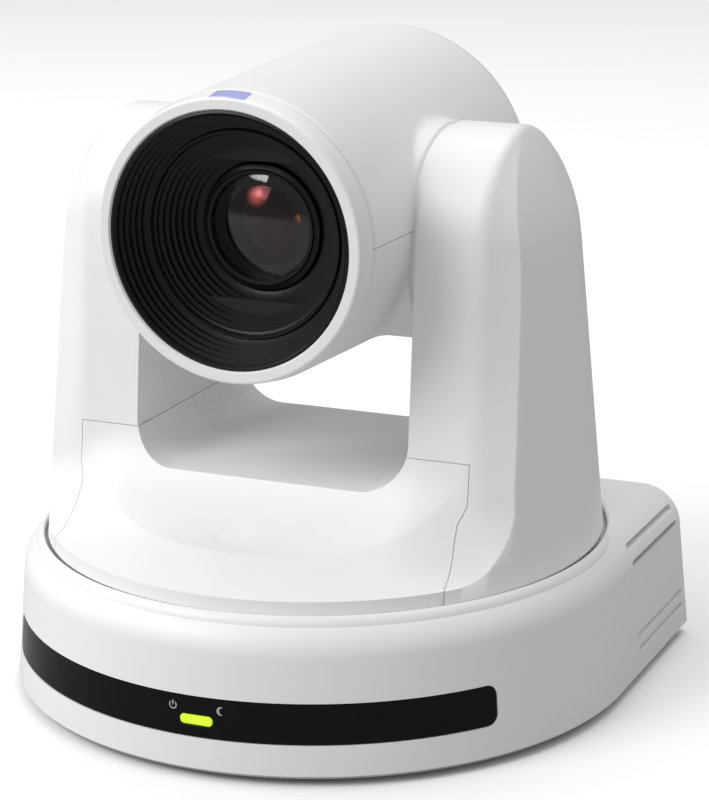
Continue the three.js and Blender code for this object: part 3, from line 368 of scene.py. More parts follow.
def yoke_field(x, y, z):
    rise = z - YOKE_LEVEL
    radius = np.hypot(x, y)
    across = np.abs(x)
    lip = (rise - BAND_RISE - LIP_SLOPE * (YOKE_RADIUS - radius)) / 1.077
    dish = rise - BAND_RISE - LIP_SLOPE * (YOKE_RADIUS - CREASE_RADIUS)
    apron = np.maximum(lip, dish)
    back, up = y - TILT_Y, rise - TILT_RISE
    cos, sin = math.cos(ARM_LEAN), math.sin(ARM_LEAN)
    cap = np.hypot(back, up) - ARM_ROUND
    upright = np.maximum(-cos * back + sin * up - ARM_ROUND, back - ARM_ROUND)
    over = np.where(back < 0, back * sin + up * cos > 0, up > 0)
    arms = np.where(over, cap, upright)
    slope = np.interp(rise, (23, 44, 79, 103), (0.38, 0.49, 0.72, 1.2))
    chamfer = (arms + slope * (across - CROWN_RADIUS)) / np.hypot(1, slope)
    arms = meet(arms, chamfer, 1.0)
    fillet = np.where(y < 0, 22 - 8 * ramp(across, 36, 58), 12)
    body = merge(apron, arms, fillet)
    dimple = np.hypot(x - DIMPLE_X, y - DIMPLE_Y) - DIMPLE_RADIUS
    body = body + DIMPLE_DEPTH * ramp(-dimple, 0, 1.2)
    return np.maximum(body, outer_form(radius, rise) - 1.5)


def yoke_open(x, y, z):
    """The yoke let down below its lower edge, so that a later cut leaves it sharp."""
    return np.maximum(yoke_field(x, y, z), YOKE_LEVEL - 3 - z)


def saddle(inset):
    """The channel between the arms, with round corners along its floor."""
    half, floor = ARM_GAP + inset, YOKE_LEVEL + SADDLE_RISE - inset
    round_floor = SADDLE_ROUND + inset
    return slab([(-half, FAR), *arc(-half + round_floor, floor + round_floor, round_floor,
                                    180, 270, 14),
                 *arc(half - round_floor, floor + round_floor, round_floor, 270, 360, 14),
                 (half, FAR)], -FAR, FAR, "Y")


def head_form(x, y, z):
    back, up = y - TILT_Y, z - TILT_Z
    share = (y - HEAD_FRONT) / (HEAD_REAR - HEAD_FRONT)
    radius = HEAD_FRONT_RADIUS + (HEAD_REAR_RADIUS - HEAD_FRONT_RADIUS) * share
    body = meet(np.hypot(x, z - LENS_Z) - radius, y - HEAD_REAR, 8.0)
    drum = meet(np.hypot(back, up) - ARM_ROUND, np.abs(x) - DRUM_HALF, 0.6)
    swing = np.hypot(np.maximum(back, 0), np.minimum(up, 0)) - HEAD_SWING
    return meet(merge(body, drum, 1.2), swing, 2.0)


def head_outside(x, y, z):
    return meet(head_form(x, y, z), HEAD_FRONT - y, 0.3)


def head_inside(x, y, z):
    return np.maximum(head_form(x, y, z), HEAD_FRONT - 3 - y)


# ------------------------------------------------------------------ finishing pieces
def soften(mesh, angle=35):
    bm = bmesh.new()
    bm.from_mesh(mesh)
    limit = math.radians(angle)
    for face in bm.faces:
        face.smooth = True
    for edge in bm.edges:
        edge.smooth = len(edge.link_faces) == 2 and edge.calc_face_angle(math.pi) < limit
    bm.to_mesh(mesh)
    bm.free()


def finished(name, mesh, body, material, stands_for=(), angle=35, weighted=True):
    """Brings a mesh in millimetres into the frame as a piece riding on a body."""
    mesh.transform(Matrix.Scale(MM, 4))
    soften(mesh, angle)
    mesh.materials.clear()
    mesh.materials.append(material)
    mesh.name = name
    piece = bpy.data.objects.new(name, mesh)
    bpy.context.scene.collection.objects.link(piece)
    if weighted:
        modifier = piece.modifiers.new("even_shading", "WEIGHTED_NORMAL")
        modifier.keep_sharp = True
    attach(piece, body)
    if stands_for:
        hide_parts(*stands_for)
    return piece


# ------------------------------------------------------------------ materials
def surface_group():
    """Slight unevenness of colour and gloss, and a fine grain, shared by all finishes."""
    name = "surface_unevenness"
    if name in bpy.data.node_groups:
        return bpy.data.node_groups[name]
    group = bpy.data.node_groups.new(name, "ShaderNodeTree")
    face = group.interface
    for label, kind, value in (
            ("Colour", "NodeSocketColor", (0.8, 0.8, 0.8, 1)), ("Shade", "NodeSocketFloat", 0.04),
            ("Roughness", "NodeSocketFloat", 0.45), ("Spread", "NodeSocketFloat", 0.06),
            ("Grain scale", "NodeSocketFloat", 1500.0),
            ("Stretch", "NodeSocketVector", (1, 1, 1))):
        socket = face.new_socket(name=label, in_out="INPUT", socket_type=kind)
        socket.default_value = value
    for label, kind in (("Colour", "NodeSocketColor"), ("Roughness", "NodeSocketFloat"),
                        ("Height", "NodeSocketFloat")):
        face.new_socket(name=label, in_out="OUTPUT", socket_type=kind)
    nodes, links = group.nodes, group.links
    inputs = nodes.new("NodeGroupInput")
    outputs = nodes.new("NodeGroupOutput")
    place = nodes.new("ShaderNodeTexCoord")
    stretch = nodes.new("ShaderNodeVectorMath")
    stretch.operation = "MULTIPLY"
    cloud = nodes.new("ShaderNodeTexNoise")
    cloud.inputs["Scale"].default_value = 45
    cloud.inputs["Detail"].default_value = 3
    grain = nodes.new("ShaderNodeTexNoise")
    grain.inputs["Detail"].default_value = 2
    links.new(place.outputs["Object"], stretch.inputs[0])
    links.new(inputs.outputs["Stretch"], stretch.inputs[1])
    links.new(place.outputs["Object"], cloud.inputs["Vector"])
    links.new(stretch.outputs[0], grain.inputs["Vector"])
    links.new(inputs.outputs["Grain scale"], grain.inputs["Scale"])
    centred = nodes.new("ShaderNodeMath")
    centred.operation = "SUBTRACT"
    centred.inputs[1].default_value = 0.5
    links.new(cloud.outputs["Fac"], centred.inputs[0])
    shade = nodes.new("ShaderNodeMath")
    shade.operation = "MULTIPLY_ADD"
    shade.inputs[2].default_value = 1.0
    links.new(centred.outputs[0], shade.inputs[0])
    links.new(inputs.outputs["Shade"], shade.inputs[1])
    tinted = nodes.new("ShaderNodeVectorMath")
    tinted.operation = "SCALE"
    links.new(inputs.outputs["Colour"], tinted.inputs[0])
    links.new(shade.outputs[0], tinted.inputs["Scale"])
    gloss = nodes.new("ShaderNodeMath")
    gloss.operation = "MULTIPLY_ADD"
    links.new(centred.outputs[0], gloss.inputs[0])
    links.new(inputs.outputs["Spread"], gloss.inputs[1])
    links.new(inputs.outputs["Roughness"], gloss.inputs[2])
    links.new(tinted.outputs[0], outputs.inputs["Colour"])
    links.new(gloss.outputs[0], outputs.inputs["Roughness"])
    links.new(grain.outputs["Fac"], outputs.inputs["Height"])
    return group


def finish(name, colour, roughness, shade=0.03, spread=0.05, grain=1500, bump=0.04,
           stretch=(1, 1, 1), **sockets):
    """Material with a slightly uneven surface; sockets are constants of the shader."""
    if name in bpy.data.materials:
        return bpy.data.materials[name]
    material = bpy.data.materials.new(name)
    material.use_nodes = True
    nodes, links = material.node_tree.nodes, material.node_tree.links
    shader = next(n for n in nodes if n.type == "BSDF_PRINCIPLED")
    group = nodes.new("ShaderNodeGroup")
    group.node_tree = surface_group()
    group.inputs["Colour"].default_value = (*colour, 1)
    group.inputs["Shade"].default_value = shade
    group.inputs["Roughness"].default_value = roughness
    group.inputs["Spread"].default_value = spread
    group.inputs["Grain scale"].default_value = grain
    group.inputs["Stretch"].default_value = stretch
    links.new(group.outputs["Colour"], shader.inputs["Base Color"])
    links.new(group.outputs["Roughness"], shader.inputs["Roughness"])
    if bump:
        relief = nodes.new("ShaderNodeBump")
        relief.inputs["Strength"].default_value = bump
        relief.inputs["Distance"].default_value = 0.0002
        links.new(group.outputs["Height"], relief.inputs["Height"])
        links.new(relief.outputs["Normal"], shader.inputs["Normal"])
    for label, value in sockets.items():
        shader.inputs[label.replace("_", " ")].default_value = value
    return material


def shell_white():
    return finish("shell_white", shell_looks().white, 0.42, bump=0.05, grain=2200)


def ring_white():
    return finish("ring_white", shell_looks().ring_white, 0.3, bump=0.02)


def window_black():
    return finish("window_black", (0.004, 0.004, 0.005), 0.08, spread=0.02, bump=0,
                  Specular_IOR_Level=0.2)


def hood_black():
    return finish("hood_black", (0.007, 0.007, 0.0075), 0.36, spread=0.08, bump=0.05,
                  Specular_IOR_Level=0.35)


def soft_black():
    return finish("soft_black", (0.012, 0.012, 0.013), 0.6, bump=0.08)


def baffle_black():
    return finish("baffle_black", (0.022, 0.022, 0.023), 0.5, bump=0.05,
                  Specular_IOR_Level=0.3)


def rubber_black():
    return finish("rubber_black", (0.02, 0.02, 0.02), 0.85, bump=0.3, grain=2500)


def plated_steel():
    return finish("plated_steel", (0.62, 0.63, 0.65), 0.3, Metallic=1.0)


def sheet_steel():
    return finish("sheet_steel", (0.5, 0.51, 0.52), 0.38, stretch=(1, 25, 1), grain=400,
                  bump=0.05, Metallic=1.0)


def warm_brass():
    return finish("warm_brass", (0.62, 0.44, 0.2), 0.28, Metallic=1.0)


def board_green():
    return finish("board_green", (0.012, 0.1, 0.04), 0.4, shade=0.25, Coat_Weight=0.4)


def panel_grey():
    return finish("panel_grey", (0.2, 0.205, 0.21), 0.5, bump=0.15)


def belt_black():
    return finish("belt_black", (0.016, 0.016, 0.016), 0.8, bump=0.4, grain=900)


def contact_gold():
    return finish("contact_gold", (0.8, 0.55, 0.2), 0.25, Metallic=1.0)


def print_grey():
    return finish("print_grey", (0.42, 0.43, 0.45), 0.5, bump=0)


def tally_tint():
    return finish("tally_tint", shell_looks().tally, 0.28, bump=0, Coat_Weight=0.4,
                  Coat_Roughness=0.1)


def led_glow():
    looks = light_looks()
    return finish("led_glow", looks.led, 0.35, bump=0, Emission_Color=(*looks.led, 1),
                  Emission_Strength=looks.led_strength)


def clear_glass():
    return finish("clear_glass", (0.93, 0.95, 0.97), 0.01, shade=0, spread=0, bump=0,
                  Transmission_Weight=1.0, IOR=1.5, Specular_IOR_Level=0.3)


def painted_highlight_mask(nodes, links, centre, radius):
    """Soft round patch for a painted highlight, one in the middle, about a point in millimetres."""
    place = nodes.new("ShaderNodeTexCoord")
    away = nodes.new("ShaderNodeVectorMath")
    away.operation = "DISTANCE"
    away.inputs[1].default_value = [c * MM for c in centre]
    fade = nodes.new("ShaderNodeMapRange")
    fade.interpolation_type = "SMOOTHSTEP"
    fade.inputs["From Max"].default_value = radius * MM
    fade.inputs["To Min"].default_value = 1.0
    fade.inputs["To Max"].default_value = 0.0
    links.new(place.outputs["Object"], away.inputs[0])
    links.new(away.outputs["Value"], fade.inputs["Value"])
    return fade.outputs["Result"]


def coated_glass_with_painted_highlights():
    """Dark coated glass with painted highlights: emission patches stand in for reflections of the lights, red
    towards the top and amber at the right.
    """
    fresh = "coated_glass_with_painted_highlights" not in bpy.data.materials
    material = finish("coated_glass_with_painted_highlights", (0.012, 0.004, 0.006), 0.05, shade=0.1, spread=0.01,
                      bump=0, Specular_IOR_Level=0.35, Specular_Tint=(1.0, 0.35, 0.4, 1),
                      Emission_Strength=1.0)
    if not fresh:
        return material
    nodes, links = material.node_tree.nodes, material.node_tree.links
    shader = next(n for n in nodes if n.type == "BSDF_PRINCIPLED")
    painted_highlights = None
    y = GLASS_LOW.y + 3
    # Painted highlights: each patch glows through the emission socket in place of a reflection of the studio
    # lights. There is a red-pink one near the top, a paler spot inside it, an amber spot at the right and faint
    # glints in the middle.
    for centre, radius, colour in (((-1.6, y, LENS_Z + 7.4), 3.4, (0.55, 0.1, 0.09)),
                                   ((-1.2, y, LENS_Z + 7.9), 1.5, (0.5, 0.25, 0.22)),
                                   ((9.2, y, LENS_Z + 2.6), 1.9, (0.7, 0.26, 0.08)),
                                   ((0.4, y, LENS_Z + 0.6), 0.9, (0.16, 0.12, 0.14)),
                                   ((-1.5, y, LENS_Z - 0.4), 0.5, (0.3, 0.28, 0.32))):
        mix = nodes.new("ShaderNodeVectorMath")
        mix.operation = "MULTIPLY_ADD"
        mix.inputs[1].default_value = colour
        mix.inputs[2].default_value = (0, 0, 0)
        links.new(painted_highlight_mask(nodes, links, centre, radius), mix.inputs[0])
        if painted_highlights:
            links.new(painted_highlights, mix.inputs[2])
        painted_highlights = mix.outputs[0]
    links.new(painted_highlights, shader.inputs["Emission Color"])
    return material


def deep_glass():
    return finish("deep_glass", (0.004, 0.005, 0.009), 0.04, shade=0.1, spread=0.01, bump=0,
                  Specular_IOR_Level=0.3, Specular_Tint=(0.6, 0.75, 1.0, 1))


# ------------------------------------------------------------------ base
def wall_radius(z):
    return BASE_RADIUS - BASE_DRAFT * z


def base_outline(inset=0.0, low=0.0, edge=0.8):
    shoulder = 10
    centre = wall_radius(BASE_TOP - shoulder) - shoulder
    return [(wall_radius(low) - inset - edge, low), (wall_radius(low) - inset, low + edge),
            *arc(centre, BASE_TOP - shoulder, shoulder - inset, 0, 90, 14)]


def base_form(inset, low, rear, edge=0.8):
    """Round in front, straight to the rear, with a rounded shoulder."""
    side = base_outline(inset, low, edge)
    round_part = common(lathe([(0, low), *side, (0, BASE_TOP - inset)]),
                        block(-FAR, FAR, -FAR, 0.01, -FAR, FAR))
    straight = slab([*side, *[(-x, z) for x, z in reversed(side)]], 0, rear, "Y")
    return joined(round_part, straight)


def window_ring(front, back, grow):
    low, high = WINDOW_LOW.z - grow, WINDOW_HIGH.z + grow
    ring = lathe([(wall_radius(low) - back, low), (wall_radius(low) - front, low),
                  (wall_radius(high) - front, high), (wall_radius(high) - back, high)])
    corner = 2.5 + grow
    end = [(-corner + grow, low - 5), (FAR / 3, low - 5), (FAR / 3, high + 5),
           (-corner + grow, high + 5),
           *[(u + grow, v) for u, v in arc(-corner, high - corner, corner, 90, 0, 8)],
           *[(u + grow, v) for u, v in arc(-corner, low + corner, corner, 0, -90, 8)]]
    right = moved(slab(end, -BASE_RADIUS - 5, -BASE_RADIUS + 14, "Y"),
                  Matrix.Rotation(math.radians(WINDOW_HALF_ANGLE), 4, "Z"))
    return cut(ring, right, mirrored(right), block(-FAR, FAR, -20, FAR, -FAR, FAR))


def led_outline(grow, radius=0.9):
    return rounded_box(LED_LOW.x - grow, LED_HIGH.x + grow, LED_LOW.z - grow,
                       LED_HIGH.z + grow, radius + grow)


class PTZ_OT_base_shell(bpy.types.Operator):
    """Moulded base cover with its shoulder, turntable collar, vents and window recess"""
    bl_idname = "ptz.base_shell"
    bl_label = "Base cover"

    def execute(self, context):
        collar = lathe([(0, 27), (COLLAR_RADIUS - 1, 27), (COLLAR_RADIUS, 28),
                        *arc(COLLAR_RADIUS - 3, BASE_TOP - 3, 3, 0, 90, 8), (0, BASE_TOP)])
        recess = lathe([(0, DECK_FLOOR), (RECESS_RADIUS, DECK_FLOOR),
                        *arc(RECESS_RADIUS + 1.2, BASE_TOP - 1.2, 1.2, 180, 90, 6),
                        (RECESS_RADIUS + 1.2, FAR), (0, FAR)])
        hollow = cut(base_form(WALL, -5, REAR_WALL - WALL, 0),
                     lathe(rod(FAR, DECK_FLOOR - WALL, FAR), 24))
        shell = cut(joined(base_form(0, 0, REAR_WALL), collar), recess, hollow,
                    lathe(rod(24, 0, FAR), 64), window_ring(-1, 2.6, 0.25))
        tools = []
        for side in (-1, 1):
            for z in VENT_HEIGHTS:
                depth = wall_radius(z) - (1.4 if z < 27 else 3.4)
                x0, x1 = sorted((side * depth, side * (BASE_RADIUS + 5)))
                tools.append(slab(rounded_box(VENT_FRONT, VENT_REAR, z - VENT_SLOT / 2,
                                              z + VENT_SLOT / 2, 0.7, 4), x0, x1, "X"))
        tools.append(slab(rounded_box(PANEL_LOW.x - 0.3, PANEL_HIGH.x + 0.3, PANEL_LOW.z - 0.3,
                                      PANEL_HIGH.z + 0.3, 2), REAR_WALL - 4, REAR_WALL + 2, "Y"))
        finished("base_shell", cut(shell, *tools), "base", shell_white(), ["base_cover"],
                 30)
        return {"FINISHED"}


class PTZ_OT_front_window(bpy.types.Operator):
    """Dark gloss window with the lit status lamp and two printed signs above it"""
    bl_idname = "ptz.front_window"
    bl_label = "Front window"

    def execute(self, context):
        slot = slab(led_outline(0.2), -FAR, 0, "Y")
        finished("window_band", cut(window_ring(0.05, 1.7, 0), slot), "base", window_black(),
                 ["ir_window"], 30)
        front = -wall_radius(LED_LOW.z)
        finished("led_lens", slab(led_outline(0), front + 0.15, front + 4, "Y", 0.25), "base",
                 led_glow(), ["status_led_lens"], 40)
        finished("window_signs", self.signs(front), "base", print_grey(), angle=40)
        return {"FINISHED"}

    def signs(self, front):
        """A switch sign and a crescent, each printed on the curved window."""
        level, size = 15.0, 1.0
        y0, y1 = front - 0.02, front + 1.4
        cx = -3.5
        ring = [*arc(cx, level, size, 130, 410, 20), *arc(cx, level, size - 0.28, 410, 130, 20)]
        bar = [(cx - 0.14, level), (cx + 0.14, level), (cx + 0.14, level + 1.15),
               (cx - 0.14, level + 1.15)]
        cx = 8.5
        crescent = [*arc(cx, level, size, 60, 300, 20),
                    *arc(cx + 0.5, level, size * 0.87, 278, 82, 18)]
        shapes = [slab(o, y0 - 1, y1, "Y") for o in (ring, bar, crescent)]
        low, high = level - 2, level + 2
        film = lathe([(wall_radius(low) - 0.4, low), (wall_radius(low) - 0.04, low),
                      (wall_radius(high) - 0.04, high), (wall_radius(high) - 0.4, high)], 320)
        return together(*[common(film.copy(), s) for s in shapes])


# ------------------------------------------------------------------ yoke
def cover_outline(grow):
    """Edge of the saddle covers seen from the front, as (x, z)."""
    side = [(SEAM_HALF, -2), (SEAM_HALF, BAND_RISE), (SEAM_HALF - 0.5, 4.9),
            (SEAM_HALF - 1.5, 12), (SEAM_HALF - 1.6, 15.6), (SEAM_HALF, 19.5),
            (SEAM_HALF, SEAM_RISE)]
    right = [(x + grow, z + YOKE_LEVEL + (grow if z == SEAM_RISE else 0)) for x, z in side]
    return right + [(-x, z) for x, z in reversed(right)]


class PTZ_OT_yoke_shell(bpy.types.Operator):
    """Turntable covers and the two arm covers, with the seams between them"""
    bl_idname = "ptz.yoke_shell"
    bl_label = "Yoke covers"

    def execute(self, context):
        looks = shell_looks()
        gap, cell = looks.seam / MM / 2, looks.cell / MM
        low = (-YOKE_RADIUS, -YOKE_RADIUS, YOKE_LEVEL)
        high = (YOKE_RADIUS, YOKE_RADIUS, YOKE_LEVEL + ARM_TOP)
        start = (low[0], low[1], YOKE_LEVEL - 3)
        outside = cut(common(moulded(yoke_open, start, high, cell, 0, 1),
                             outer_solid(0, 0)), saddle(0))
        inside = cut(common(moulded(yoke_open, start, high, 1.6, WALL, 0),
                            outer_solid(WALL, -5)), saddle(WALL))
        shaft = ARM_GAP + WALL + 1.2
        shell = cut(outside, inside,
                    lathe(rod(8.6, -shaft, shaft), 96, "X", (0, TILT_Y, TILT_Z)))
        covers = cover_outline(-gap)
        front = common(shell.copy(), slab(covers, -FAR, SADDLE_SEAM_Y - gap, "Y"))
        rear = common(shell.copy(), slab(covers, SADDLE_SEAM_Y + gap, FAR, "Y"))
        arms = cut(shell, slab(cover_outline(gap), -FAR, FAR, "Y"))
        right = common(arms.copy(), block(0, FAR, -FAR, FAR, -FAR, FAR))
        left = common(arms, block(-FAR, 0, -FAR, FAR, -FAR, FAR))
        for name, mesh, node in (("saddle_cover_front", front, "yoke_front_cover"),
                                 ("saddle_cover_rear", rear, "yoke_rear_cover"),
                                 ("arm_shell_left", left, "arm_cover_left"),
                                 ("arm_shell_right", right, "arm_cover_right")):
            finished(name, mesh, "yoke", shell_white(), [node], 55, False)
        return {"FINISHED"}


# ------------------------------------------------------------------ head
class PTZ_OT_head_shell(bpy.types.Operator):
    """Upper and lower head covers, front ring and tally lamp"""
    bl_idname = "ptz.head_shell"
    bl_label = "Head covers"

    def execute(self, context):
        looks = shell_looks()
        gap, cell = looks.seam / MM / 2, looks.cell / MM
        low = (-HEAD_REAR_RADIUS, HEAD_FRONT, TILT_Z - HEAD_SWING)
        high = (HEAD_REAR_RADIUS, HEAD_REAR, LENS_Z + HEAD_REAR_RADIUS)
        outside = moulded(head_outside, low, high, cell)
        inside = moulded(head_inside, (low[0], HEAD_FRONT - 3, low[2]), high, 1.6, WALL, 0)
        shell = cut(outside, inside, lathe(rod(5.3, -FAR, FAR), 64, "X", (0, TILT_Y, TILT_Z)))
        upper = common(shell.copy(), block(-FAR, FAR, -FAR, FAR, LENS_Z + gap, FAR))
        lower = common(shell, block(-FAR, FAR, -FAR, FAR, -FAR, LENS_Z - gap))
        for name, mesh, node in (("head_shell_upper", upper, "head_upper_shell"),
                                 ("head_shell_lower", lower, "head_lower_shell")):
            finished(name, mesh, "head", shell_white(), [node], 55, False)
        self.ring()
        discs = [lathe(tube(9, 25.4, *sorted((end * (DRUM_HALF - 0.3), end * (ARM_GAP - 0.25)))),
                       160, "X", (0, TILT_Y, TILT_Z)) for end in (-1, 1)]
        finished("drum_spacers", together(*discs), "head", shell_white(), angle=30)
        return {"FINISHED"}

    def ring(self):
        front, back = RING_LOW.y, HEAD_FRONT - 0.3
        mouth = HOOD_HIGH.x + 0.1
        profile = [(mouth, front + 0.5), (mouth + 0.35, front), (32.5, front), (32.9, front + 0.2),
                   (33.1, front + 0.7), (33.3, front + 1.6), (33.85, back - 0.7),
                   (33.85, back - 0.3),
                   (33.5, back), (mouth, back)]
        ring = lathe(profile, 200, "Y", (0, 0, LENS_Z))
        left, right, lip = -3.6, 5.0, front + 0.5
        notch = slab(rounded_box(left - 0.15, right + 0.15, lip - 0.15, FAR, 0.8),
                     LENS_Z + 31.2, FAR)
        finished("ring_trim", cut(ring, notch), "head", ring_white(), ["front_ring"],
                 25)
        lamp_form = lathe([(31.4, front), (32.6, front + 0.5),
                           (33.2, front + 0.9), (33.85, back - 0.7),
                           (33.85, back - 0.2),
                           (31.4, back)], 200, "Y", (0, 0, LENS_Z))
        lamp = common(lamp_form, slab(rounded_box(left, right, lip, back - 0.1, 0.7),
                                      LENS_Z + 30, FAR))
        finished("tally_lens", lamp, "head", tally_tint(), ["tally_lamp"], 30)


def ribs(from_r, from_y, to_r, to_y, count, depth=0.5):
    """Stepped light-trap rings from one (radius, y) to another."""
    points = []
    for i in range(count):
        a, b = i / count, (i + 1) / count
        r0, r1 = (from_r + (to_r - from_r) * t for t in (a, b))
        y0, y1 = (from_y + (to_y - from_y) * t for t in (a, b))
        points += [(r0, y0), (r0 + depth * 0.2, y0 + (y1 - y0) * 0.75), (r1, y1 - 0.15)]
    return points


class PTZ_OT_lens(bpy.types.Operator):
    """Ribbed hood, baffles, retaining rings and coated lens elements"""
    bl_idname = "ptz.lens"
    bl_label = "Lens"

    def execute(self, context):
        centre = (0, 0, LENS_Z)
        mouth_y, back_y = HOOD_LOW.y, HOOD_HIGH.y
        mouth = HOOD_HIGH.x
        rim_r, rim_y = 23.7, mouth_y + 8.8
        glass_r = GLASS_HIGH.x
        inner = [(mouth, mouth_y + 0.2), (mouth - 0.5, mouth_y), (mouth - 1.0, mouth_y + 0.5),
                 *ribs(mouth - 1.2, mouth_y + 0.8, rim_r + 1.2, rim_y - 0.6, 5),
                 (rim_r + 0.9, rim_y - 0.6), (rim_r + 0.6, rim_y - 1.2), (rim_r, rim_y - 1.2),
                 (rim_r - 0.3, rim_y),
                 *ribs(rim_r - 0.8, rim_y + 0.2, glass_r + 3.2, back_y - 1.6, 7),
                 (glass_r + 2.4, back_y - 1.4), (glass_r + 2.4, back_y)]
        outer = [(20, back_y), (rim_r + 1.8, rim_y + 2), (mouth, mouth_y + 9)]
        finished("hood_rings", lathe(inner + outer, 200, "Y", centre), "head", hood_black(),
                 ["lens_hood"], 30)
        self.baffles(centre, back_y, glass_r)
        self.glass(centre, back_y, glass_r)
        return {"FINISHED"}

    def baffles(self, centre, back_y, glass_r):
        """Flat masks above and below the glass, and the ring that holds the glass."""
        disc = lathe(tube(glass_r - 0.6, 21.0, back_y - 6.4, back_y - 5.8), 128, "Y", centre)
        gate = slab(rounded_box(-24, 24, LENS_Z - 16.4, LENS_Z + 16.4, 0.5), -FAR, FAR, "Y")
        finished("light_baffles", cut(disc, gate), "head", baffle_black(), angle=30)
        ring = lathe([(glass_r - 0.5, back_y - 2.2), (glass_r - 0.2, back_y - 2.9),
                      (glass_r + 0.5, back_y - 3.0), (glass_r + 0.8, back_y - 2.6),
                      (glass_r + 1.9, back_y - 2.2), (glass_r + 2.1, back_y - 0.2),
                      (glass_r - 0.5, back_y - 0.2)], 128, "Y", centre)
        finished("retaining_ring", ring, "head", hood_black(), angle=30)

    def glass(self, centre, back_y, glass_r):
        """Front meniscus and the smaller elements seen through it."""
        def dome(radius, top, bulge, thick):
            steps = 14
            curve = [(radius * i / steps, top + bulge * (i / steps) ** 2)
                     for i in range(steps + 1)]
            return [*curve, *[(r, y + thick) for r, y in reversed(curve)]]
        front = lathe(dome(glass_r - 0.55, back_y - 4.2, 2.2, 0.9), 128, "Y", centre)
        finished("front_element", front, "head", clear_glass(), ["front_lens"], 60)
        second = lathe(dome(9.8, back_y - 1.9, 2.4, 0.8), 128, "Y", centre)
        holder = lathe([(9.3, back_y + 0.2), (9.7, back_y - 0.4), (12.3, back_y - 1.0),
                        (12.3, back_y + 1.6), (9.3, back_y + 1.6)], 128, "Y", centre)
        third = lathe(dome(5.4, back_y + 3.2, 1.4, 0.6), 96, "Y", centre)
        cell = lathe([(5.2, back_y + 4.4), (5.5, back_y + 3.6), (8.8, back_y + 1.2),
                      (9.2, back_y + 1.2), (9.2, back_y + 5.6), (5.2, back_y + 5.6)],
                     128, "Y", centre)
        # The second element's glass has painted highlights: glowing patches that stand in for reflections of the
        # lights.
        finished("second_element", second, "head", coated_glass_with_painted_highlights(), angle=60)
        finished("third_element", third, "head", deep_glass(), angle=60)
        finished("element_cells", together(holder, cell), "head", hood_black(), angle=30)


# ------------------------------------------------------------------ rear and underside
class PTZ_OT_sockets(bpy.types.Operator):
    """Contacts, lugs and screws that complete the connector panel"""
    bl_idname = "ptz.sockets"
    bl_label = "Connector panel"

    def execute(self, context):
        contacts = []
        for node in ("lan_jack", "serial_jack"):
            low, high = node_box(node)
            middle = (low.x + high.x) / 2
            for i in range(8):
                x = middle + (i - 3.5) * 1.02
                contacts.append(slab([(high.y - 9, high.z - 3.2), (high.y - 3, high.z - 4.6),
                                      (high.y - 3, high.z - 4.9), (high.y - 9, high.z - 3.7)],
                                     x - 0.22, x + 0.22, "X"))
        finished("jack_contacts", together(*contacts), "base", contact_gold())
        low, high = node_box("hdmi_jack")
        tongue = block(low.x + 2, high.x - 2, high.y - 9, high.y - 1.2,
                       (low.z + high.z) / 2 - 0.5, (low.z + high.z) / 2 + 0.5)
        finished("hdmi_tongue", tongue, "base", soft_black())
        low, high = node_box("sdi_jack")
        x, z = (low.x + high.x) / 2, 14.6
        lugs = [moved(lathe(rod(0.9, 4.4, 6.0, 0.2), 24, "X"),
                      Matrix.Translation((x, high.y - 3.2, z)) @ Matrix.Rotation(turn, 4, "Y"))
                for turn in (0, math.pi)]
        finished("bayonet_lugs", together(*lugs), "base", plated_steel(), angle=30)
        screws = []
        for sx, sz in ((-58, 7), (58, 7), (-58, 22), (58, 22)):
            screws.append(self.screw((sx, PANEL_HIGH.y, sz)))
        finished("panel_screws", together(*screws), "base", plated_steel(), angle=30)
        return {"FINISHED"}

    def screw(self, place):
        head = lathe([(0, 0), (2.2, 0), (2.2, 0.3), *arc(1.5, 0.1, 0.7, 0, 90, 4)[1:], (0, 0.8)],
                     32, "Y")
        slots = [slab(rounded_box(-1.2, 1.2, -0.25, 0.25, 0.1, 2), 0.4, 2, "Y"),
                 slab(rounded_box(-0.25, 0.25, -1.2, 1.2, 0.1, 2), 0.4, 2, "Y")]
        return moved(cut(head, *slots), Matrix.Translation(place))


class PTZ_OT_underside(bpy.types.Operator):
    """Rounded rubber feet under the base"""
    bl_idname = "ptz.underside"
    bl_label = "Feet"

    def execute(self, context):
        for i in range(1, 5):
            low, high = node_box(f"foot_{i}")
            x, y, radius = (low.x + high.x) / 2, (low.y + high.y) / 2, (high.x - low.x) / 2
            foot = lathe([(0, low.z + 0.3), (radius - 2.4, low.z + 0.3), (radius - 2, low.z),
                          (radius - 0.9, low.z), *arc(radius - 0.5, low.z + 0.5, 0.5, -60, 0, 3),
                          (radius, -0.3), (1.7, -0.3), (1.7, high.z), (0, high.z)],
                         64, "Z", (x, y, 0))
            finished(f"rubber_foot_{i}", foot, "base", rubber_black(), [f"foot_{i}"],
                     30)
        return {"FINISHED"}


INNER_FINISHES = {
    "bright_steel": plated_steel, "sheet_steel": sheet_steel, "brass": warm_brass,
    "circuit_board": board_green, "grey_plastic": panel_grey, "black_matte": soft_black,
    "black_gloss": window_black, "rubber_black": rubber_black, "white_shell": shell_white,
    "white_ring": ring_white, "lens_glass": deep_glass, "status_green": led_glow,
    "tally_lavender": tally_tint,
}


class PTZ_OT_inner_finishes(bpy.types.Operator):
    """Finishes on the frame's own parts: drives, boards, sockets and plates"""
    bl_idname = "ptz.inner_finishes"
    bl_label = "Inner parts"

    def execute(self, context):
        for row in frame["record"]["subparts"]:
            node = frame["nodes"][row["node"]]
            make = belt_black if row["node"].endswith("belt") else \
                INNER_FINISHES[row["material_slot"]]
            for slot in node.material_slots:
                slot.material = make()
        return {"FINISHED"}


